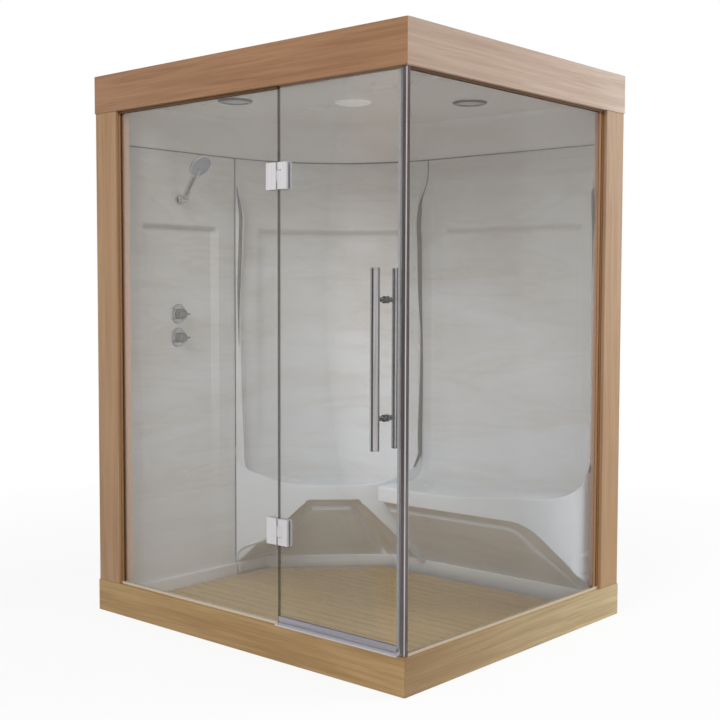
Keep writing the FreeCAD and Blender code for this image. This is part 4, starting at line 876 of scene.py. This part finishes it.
metal("bar_chrome", (188, 185, 185), (150, 147, 147))
metal("tap_chrome", (236, 235, 234), (190, 188, 187), "y", 0.05, 0.15)
# Painted reflection: the knobs' strong dark and pale streaks stand for dark surroundings mirrored in the
# chrome.
metal("knob_chrome", (196, 194, 192), (96, 94, 92), "x", 0.05, 0.15)
# Painted reflection: the hinge plates are near-white with little shine, standing for chrome that mirrors the
# white studio.
metal("hinge_chrome", (222, 217, 217), (206, 201, 201), "z", 0.25, 0.35, 0.1)
metal("profile_satin", (206, 198, 198), (176, 168, 168), "z", 0.14, 0.24)
metal("sill_satin", (224, 219, 220), (204, 199, 200), "x", 0.3, 0.45, 0.2)
metal("dull_steel", (190, 190, 188), (150, 150, 148), "x", 0.25, 0.4)
# Painted reflection: the downlight rings are chrome darkened to stand for the shaded surroundings they
# mirror.
metal("ring_chrome", (118, 114, 112), (84, 81, 79), "y")
metal("anodised", (176, 176, 174), (150, 150, 148), "x", 0.3, 0.45)
metal("sweep_finish", (178, 173, 182), (154, 149, 158), "x", 0.3, 0.45, 0.2)
metal("tap_brass", (206, 176, 104), (158, 126, 62), "z", 0.25, 0.45)
metal("pipe_copper", (206, 140, 104), (150, 88, 60), "z", 0.25, 0.5)
print("metal nodes", len(polish.nodes))

# %% [markdown]
# ## Glass and soft seals
# Toughened glass is nearly invisible face on and shows its green in the cut edges. Real refraction would
# also stop most of the light on its way in, so each pane is a thin grey coat whose cover grows at a glancing
# angle, a painted reflection. The object's own normal tells the broad faces from the cut edges. The channels
# that hold the glass are lacquered pale along the sill and brown up the posts; the darker tone under the
# fascia is painted shadow.

# %% Glass
def pane(name, across):
    """Clear glass whose broad faces look along one axis, given as 0 for X or 1 for Y."""
    shader = start_material(name)
    normal = add_node(shader, "TexCoord").outputs["Normal"]
    cut = ramp(reckon("ABSOLUTE", axes(normal)[across]), 0.3, 0.7, 1.0, 0.0)
    glance = add_node(shader, "Fresnel", {"IOR": 1.45}).outputs[0]
    film = noise(place(shader), 2.0, 3.0)
    # Painted reflection: the grey coat thickens at a glancing angle, where real glass reflects more.
    cover = reckon("ADD", ramp(glance, 0.03, 0.5, 0.012, 0.35), ramp(film, 0.3, 0.8, 0.0, 0.012))
    cover = reckon("MAXIMUM", cover, reckon("MULTIPLY", cut, 0.7))
    tint = mix_colour(cut, paint(150, 151, 149), paint(98, 96, 84))
    wire(shader, Base_Color=tint, Alpha=cover, Roughness=ramp(film, 0.3, 0.7, 0.02, 0.06), IOR=1.5)


pane("front_glass", 1)
pane("side_pane", 0)
print("panes ready")

# %% Seals and channels
SILL_LEVEL, HEAD_LEVEL = 0.137, 2.032
soft("clear_vinyl", (176, 176, 176), (150, 150, 150), 0.3, 0.6)
soft("grey_rubber", (204, 201, 206), (188, 185, 190), 0.5)
soft("trim_lacquer", (248, 208, 180), (236, 190, 160), 0.4)
soft("spray_rubber", (182, 180, 186), (158, 156, 162), 0.35)
soft("outlet_plastic", (216, 214, 208), (200, 198, 190), 0.3)
shader = start_material("channel_lacquer")
mottle, level = noise(place(shader), 90.0, 3.0), axes(place(shader))[2]
sill_tone = mix_colour(mottle, paint(234, 220, 198), paint(220, 202, 176))
upright_tone = mix_colour(mottle, paint(168, 124, 82), paint(144, 102, 64))
# Painted shadow: from the head level up, the brown turns darker for the shade under the fascia.
above_sill, fascia_shadow = (ramp(level, low, low + 0.002) for low in (SILL_LEVEL, HEAD_LEVEL))
upright_tone = mix_colour(fascia_shadow, upright_tone, paint(112, 80, 50))
wire(shader, Base_Color=mix_colour(above_sill, sill_tone, upright_tone),
     Roughness=ramp(mottle, 0.2, 0.8, 0.35, 0.47))
print("finishes so far", len(bpy.data.materials))

# %% Finishes of the smaller solids
HINGE_EASE = 0.001
FINISHES = {
    "front_glass": "fixed_front_glass door_glass", "side_pane": "side_glass",
    "clear_vinyl": "strike_seal door_edge_seal handle_washers", "sweep_finish": "door_sweep",
    "sill_satin": "threshold_bar", "channel_lacquer": "glass_channels", "profile_satin": "corner_profile",
    "dull_steel": "fixed_hinge_screws door_hinge_screws hinge_pins handle_studs waste_body waste_grate"
                  " shower_pivot_pin",
    "grey_rubber": "fixed_hinge_gaskets door_hinge_gaskets", "bar_chrome": "handle_standoffs",
    "tray_white": "shower_tray", "anodised": "light_cans", "tap_brass": "valve_bodies",
    "pipe_copper": "water_pipes steam_inlet_pipe", "outlet_plastic": "steam_outlet",
    "tap_chrome": "shower_bracket",
}
for finish, names in FINISHES.items():
    finish_solids(finish, names)
finish_solids("hinge_chrome", "fixed_hinge_outer_plates fixed_hinge_inner_plates door_hinge_outer_plates"
                              " door_hinge_inner_plates", HINGE_EASE)
print("kinds of finish", len(FINISHES) + 1)

# %% [markdown]
# ## Post trims
# A thin lacquered angle covers the joint of each post with the moulded wall, behind the glass. It is an
# L-shaped profile carried straight up from the sill to the fascia. A flat strip seals the side pane to its
# channel.

# %% Trims
TRIM_LOW, TRIM_HIGH, TRIM_ROWS = 0.136, 2.040, 12


def trim(outline):
    """The outline in plan, with soft corners, carried from the sill to the fascia. It starts and ends half
    way along its first side."""
    start = (outline[0] + outline[1]) / 2
    end = outline[0] * 0.501 + outline[1] * 0.499
    ring = rounded([start, *outline[1:], outline[0], end], 0.0008, 3)[:-1]
    z = np.linspace(TRIM_LOW, TRIM_HIGH, TRIM_ROWS)[:, None]
    return np.stack(np.broadcast_arrays(*ring.T, z), -1)


left_trim = mm([(-690, -657), (-687, -657), (-687, -627), (-719, -627), (-719, -630), (-690, -630)])
right_trim = mm([(768.5, 556), (786.5, 556), (786.5, 560), (771.5, 560), (771.5, 600), (768.5, 600)])
pane_strip = mm([(803, 530), (804.8, 530), (804.8, 546), (803, 546)])
make_piece("post_trims", [trim(left_trim), trim(right_trim)], "trim_lacquer", "cabin")
make_piece("pane_strip", [trim(pane_strip)], "channel_lacquer", "cabin")

# %% [markdown]
# ## Door handle
# A ladder handle: one bar outside, one inside, joined through the glass. The solids give the standoffs. The
# bars are turned on a lathe, with a flat cap that sits in a fine groove and a small rounded edge.

# %% Handle bars
BAR_LENGTH, BAR_X, BAR_FOOT = 0.600, 0.716, 0.806


def lathe(profile, centre, axis, around=48):
    """A turned shape: each profile pair (radius, height) goes round the axis through the centre."""
    axis = unit(axis)
    side = unit(np.cross(axis, (0.0, 0.0, 1.0) if abs(axis[2]) < 0.9 else (0.0, 1.0, 0.0)))
    other = np.cross(axis, side)
    angle = circle(around)[:, None]
    ring = np.cos(angle) * side + np.sin(angle) * other
    radius, height = np.asarray(profile, float).T
    return np.asarray(centre) + radius[:, None, None] * ring + height[:, None, None] * axis


cap = mm([(0.3, 0), (13, 0), (15, 0.6), (16, 2.2), (16, 7), (15.6, 7.4), (15.6, 8), (16, 8.4), (16, 20)])
bar = np.concatenate([cap, np.stack([cap[::-1, 0], BAR_LENGTH - cap[::-1, 1]], -1)])
for name, y in (("outer_bar", -0.723), ("inner_bar", -0.613)):
    make_piece(name, [lathe(bar, (BAR_X, y, BAR_FOOT), (0, 0, 1))], "bar_chrome", "door",
               ["handle_" + name])

# %% [markdown]
# ## Ceiling lights
# Two downlights have a polished metal ring, darkened as a painted reflection, round a frosted lens, and a
# plain domed diffuser sits in the middle.
# All three are turned shapes; the ring's profile is closed, so it is carried round as a ring of rings.

# %% Lights
ROW = np.array([0.015, -0.050, CEILING])
APART = np.array([0.345, 0.322, 0.0])


def lamp_glass(name, pale, dark, glow):
    """Frosted glass that is lit a little from behind."""
    shader = soft(name, pale, dark, 0.35, fine=60.0, spread=0.15, depth=0.0002)
    wire(shader, Emission_Color=(1.0, 0.98, 0.94, 1.0), Emission_Strength=glow)


lamp_glass("dome_glass", (232, 230, 222), (218, 216, 208), 0.16)
lamp_glass("lens_glass", (182, 178, 172), (160, 156, 150), 0.04)
ring_profile = rounded(mm([(46, 0), (46, 4.5), (70, 0), (70, -4), (64, -8), (51, -7.5), (46, -3.5),
                           (46, -0.1)]), 0.002, 4)[-2::-1]
make_piece("lamp_rings", [lathe(ring_profile, spot, (0, 0, 1), 64) for spot in (ROW - APART, ROW + APART)],
           "ring_chrome", "cabin", ["downlight_bezels"], ring=True)
dome = rounded(mm([(0.3, -12), (60, -11.5), (73, -6), (76, -1), (0.3, 0)]), 0.012, 8)
make_piece("lamp_dome", [lathe(dome, ROW, (0, 0, 1), 64)], "dome_glass", "cabin",
           ["centre_light_diffuser"])
finish_solids("lens_glass", "downlight_lenses")

# %% [markdown]
# ## Shower valves
# Each valve has a stepped round plate on the wall and a knob with finger flutes and a short lever. The knob
# is a turned shape whose radius also swings with the angle. The knobs ride on their own bodies.

# %% Valves
VALVE_Y, PLATE_X, KNOB_X, LEVER_X = -0.310, -0.767, -0.761, -0.743
LEVER_START, LEVER_LENGTH, LEVER_RISE = 0.012, 0.033, 0.004
FLUTES, FLUTE_DEPTH = 8, 0.16
plate = rounded(mm([(7.5, 0), (43, 0), (43, 2), (39, 4.8), (34, 4.8), (33, 3.6), (28, 3.6), (26, 5),
                    (7.5, 5), (7.5, 0.1)]), 0.0012, 4)[:-1]
knob_line = rounded(mm([(0.3, 0), (21.5, 0), (22.5, 4), (20.5, 10), (21.5, 16), (22.5, 30), (19, 35.2),
                        (13, 36), (11.8, 34.5), (0.3, 34.5)]), 0.003, 5)
grip = smooth_step(knob_line[:, 1], 0.012, 0.018) * (1 - smooth_step(knob_line[:, 1], 0.030, 0.034))
s = np.linspace(0, 1, 14)
lever_size = np.interp(s, [0, 0.25, 0.8, 0.93, 1], [0.0040, 0.0034, 0.0038, 0.0032, 0.0008])
plates = []
for kind, z in (("flow", 1.230), ("temperature", 1.128)):
    plates.append(lathe(plate, (PLATE_X, VALVE_Y, z), (1, 0, 0), 64))
    knob = lathe(knob_line, (KNOB_X, VALVE_Y, z), (1, 0, 0), 96)
    spoke = (knob - (KNOB_X, VALVE_Y, z)) * (0, 1, 1)
    angle = np.arctan2(spoke[..., 2], spoke[..., 1])
    knob = knob - spoke * (FLUTE_DEPTH * grip[:, None] * (0.5 - 0.5 * np.cos(FLUTES * angle)))[..., None]
    lever_path = points(LEVER_X + LEVER_RISE * s ** 2, VALVE_Y + LEVER_START + LEVER_LENGTH * s, z)
    lever = tube(lever_path, lever_size, (0.0, 0.0, 1.0))
    make_piece(kind + "_knob_grip", [knob, lever], "knob_chrome", kind + "_control",
               [kind + "_knob"])
make_piece("valve_roses", plates, "tap_chrome", "cabin", ["valve_plates"], ring=True)

# %% [markdown]
# ## Shower
# A slim arm leans out from its wall bracket and carries a round head. The head is turned about the direction
# of the spray. Its face is a softer plate with rings of small nozzles, each a little turned cone.

# %% Shower head and arm
PIVOT, ARM_LENGTH, LEAN = np.array((-0.723, -0.310, 1.721)), 0.172, math.radians(37)
STEM_FROM, STEM_LENGTH, NOZZLE_FROM = 0.010, 0.150, 0.0105
NOZZLE_RINGS = ((6, 0.010), (12, 0.021), (18, 0.032), (24, 0.0405))
arm_way = np.array((math.sin(LEAN), 0.0, math.cos(LEAN)))
spray = np.array((math.cos(LEAN), 0.0, -math.sin(LEAN)))
head_at = PIVOT + ARM_LENGTH * arm_way
head = rounded(mm([(0.3, -16), (16, -15.5), (34, -12), (50, -3), (55, 4), (55, 8.5), (52, 10), (47, 9.5),
                   (46.5, 7), (0.3, 7)]), 0.006, 6)
make_piece("rain_head", [lathe(head, head_at, spray, 72)], "tap_chrome", "shower", ["shower_head"])
face = rounded(mm([(0.3, 7.2), (46.2, 7.2), (46.2, 9.2), (42, 10.4), (0.3, 11)]), 0.002, 5)
nozzle = mm([(2.2, 0), (2.2, 1.2), (1.6, 3), (0.4, 3.3)])
side = np.cross(spray, (0.0, 1.0, 0.0))
jets = [lathe(face, head_at, spray, 64)]
for count, ring_radius in NOZZLE_RINGS:
    turn = circle(count)[:, None]
    at = head_at + NOZZLE_FROM * spray + ring_radius * (np.cos(turn) * side + np.sin(turn) * (0, 1, 0))
    jets += [lathe(nozzle, spot, spray, 10) for spot in at]
make_piece("spray_plate", jets, "spray_rubber", "shower", ["shower_spray_face"])
s = np.linspace(0, 1, 40)
stem = PIVOT + (STEM_FROM + STEM_LENGTH * s)[:, None] * arm_way
stem_size = np.interp(s, [0, 0.04, 0.10, 0.14, 0.5, 0.85, 1.0],
                      [0.0090, 0.0110, 0.0155, 0.0148, 0.0142, 0.0150, 0.0170])
make_piece("shower_stem", [tube(stem, stem_size, (0.0, 1.0, 0.0), 24)], "tap_chrome", "shower",
           ["shower_arm"])
eye = rounded(mm([(5.5, -8), (11, -8), (12, -7), (12, 7), (11, 8), (5.5, 8), (5.5, -7.9)]), 0.001, 4)[:-1]
make_piece("shower_eye", [lathe(eye, PIVOT, (0, 1, 0), 40)], "tap_chrome", "shower", ring=True)

# %% [markdown]
# ## Studio
# A white sweep and large soft lamps. The camera, mirrors and glass see plain white, while the softer ambient
# light that reaches the cabin is set by itself, so that pale acrylic doesn't burn out.

# %% Studio helpers
FLOOR, FLOOR_Z, CARD_TOP, MAT_Z, LAMP_SIZE = 20, -0.001, 3.2, 0.001, 2.6


def sees_backdrop(beside):
    """1 for rays from the camera and for mirrored or refracted rays."""
    path = add_node(beside, "LightPath").outputs
    seen = reckon("ADD", path["Is Camera Ray"], path["Is Glossy Ray"])
    return reckon("ADD", seen, path["Is Transmission Ray"], clamp=True)


def stage_board(name, corners, material):
    """One flat board of the studio, which isn't part of the cabin."""
    mesh = bpy.data.meshes.new(name)
    mesh.from_pydata(corners, [], [(0, 1, 2, 3)])
    mesh.materials.append(bpy.data.materials[material])
    board = bpy.data.objects.new(name, mesh)
    scene.collection.objects.link(board)
    return board


def dark_card(name, corners):
    """A dark board that only mirrored rays see; it draws the dark streaks in polished metal."""
    card = stage_board(name, corners, "card_paint")
    card.visible_camera = card.visible_diffuse = card.visible_shadow = card.visible_transmission = False


def soft_lamp(name, spot, aim, power, colour=(1.0, 1.0, 1.0)):
    """A square area lamp at a spot, turned towards its aim."""
    lamp = bpy.data.lights.new(name, "AREA")
    lamp.size, lamp.energy, lamp.color = LAMP_SIZE, power, colour
    holder = bpy.data.objects.new(name, lamp)
    holder.rotation_euler = (Vector(spot) - Vector(aim)).to_track_quat("Z", "Y").to_euler()
    holder.location = spot
    holder.visible_camera = holder.visible_glossy = False
    scene.collection.objects.link(holder)


print("studio helpers ready")

# %% White surroundings
scene.world = bpy.data.worlds.new("studio")
scene.world.use_nodes = True
sky = scene.world.node_tree
ambient = add_node(sky, "Background", {"Color": (0.97, 0.98, 1.0, 1), "Strength": 0.36})
white = add_node(sky, "Background", {"Color": (1, 1, 1, 1), "Strength": 1.0})
levels = {0: sees_backdrop(sky), 1: ambient.outputs[0], 2: white.outputs[0]}
choice = add_node(sky, "MixShader", levels)
wire(sky.nodes["World Output"], Surface=choice.outputs[0])

shader = start_material("floor_paint")
spot = place(shader)
speck = ramp(noise(spot, 3.0), 0.0, 1.0, 0.92, 0.96)
away = add_node(shader, "VectorMath", {0: spot}, operation="LENGTH").outputs["Value"]
wire(shader, Base_Color=add_node(shader, "CombineColor", {0: speck, 1: speck, 2: speck}).outputs[0],
     Roughness=0.9, Specular_IOR_Level=0.1)
glow = add_node(shader, "Emission", {"Color": (1, 1, 1, 1), "Strength": 1.0})
lit = reckon("MULTIPLY", sees_backdrop(shader), ramp(away, 1.6, 4.0, 0.88, 1.0))
both = add_node(shader, "MixShader", {0: lit, 1: shader.outputs[0], 2: glow.outputs[0]})
wire(shader.id_data.nodes["Material Output"], Surface=both.outputs[0])
shader = start_material("card_paint")
felt = noise(place(shader), 5.0)
wire(shader, Base_Color=mix_colour(felt, paint(138, 134, 135), paint(118, 115, 116)), Roughness=0.9)
print("ambient", ambient.inputs["Strength"].default_value)

# %% Floor, cards and lamps
corners = ((-FLOOR, -FLOOR), (FLOOR, -FLOOR), (FLOOR, FLOOR), (-FLOOR, FLOOR))
stage_board("floor", [(x, y, FLOOR_Z) for x, y in corners], "floor_paint")
CARDS = {"left_card": (-2.6, -3.3, 0.8, -5.1), "right_card": (4.2, 1.7, 2.8, 3.0)}
for name, (x0, y0, x1, y1) in CARDS.items():
    dark_card(name, [(x0, y0, 0), (x1, y1, 0), (x1, y1, CARD_TOP), (x0, y0, CARD_TOP)])
MATS = {"right_mat": ((1.0, -0.6), (3.9, 1.6), (2.7, 2.9), (1.0, 0.4)),
        "front_mat": ((0.9, -0.9), (0.1, -0.9), (-2.5, -3.3), (0.6, -4.9))}
for name, corners in MATS.items():
    dark_card(name, [(x, y, MAT_Z) for x, y in corners])
soft_lamp("right_lamp", (3.6, 2.5, 2.9), (0.0, 0.0, 0.9), 112)
soft_lamp("front_lamp", (1.4, -5.0, 3.8), (0.0, 0.0, 0.7), 170, (0.93, 0.97, 1.0))
print("lamps", len(bpy.data.lights))
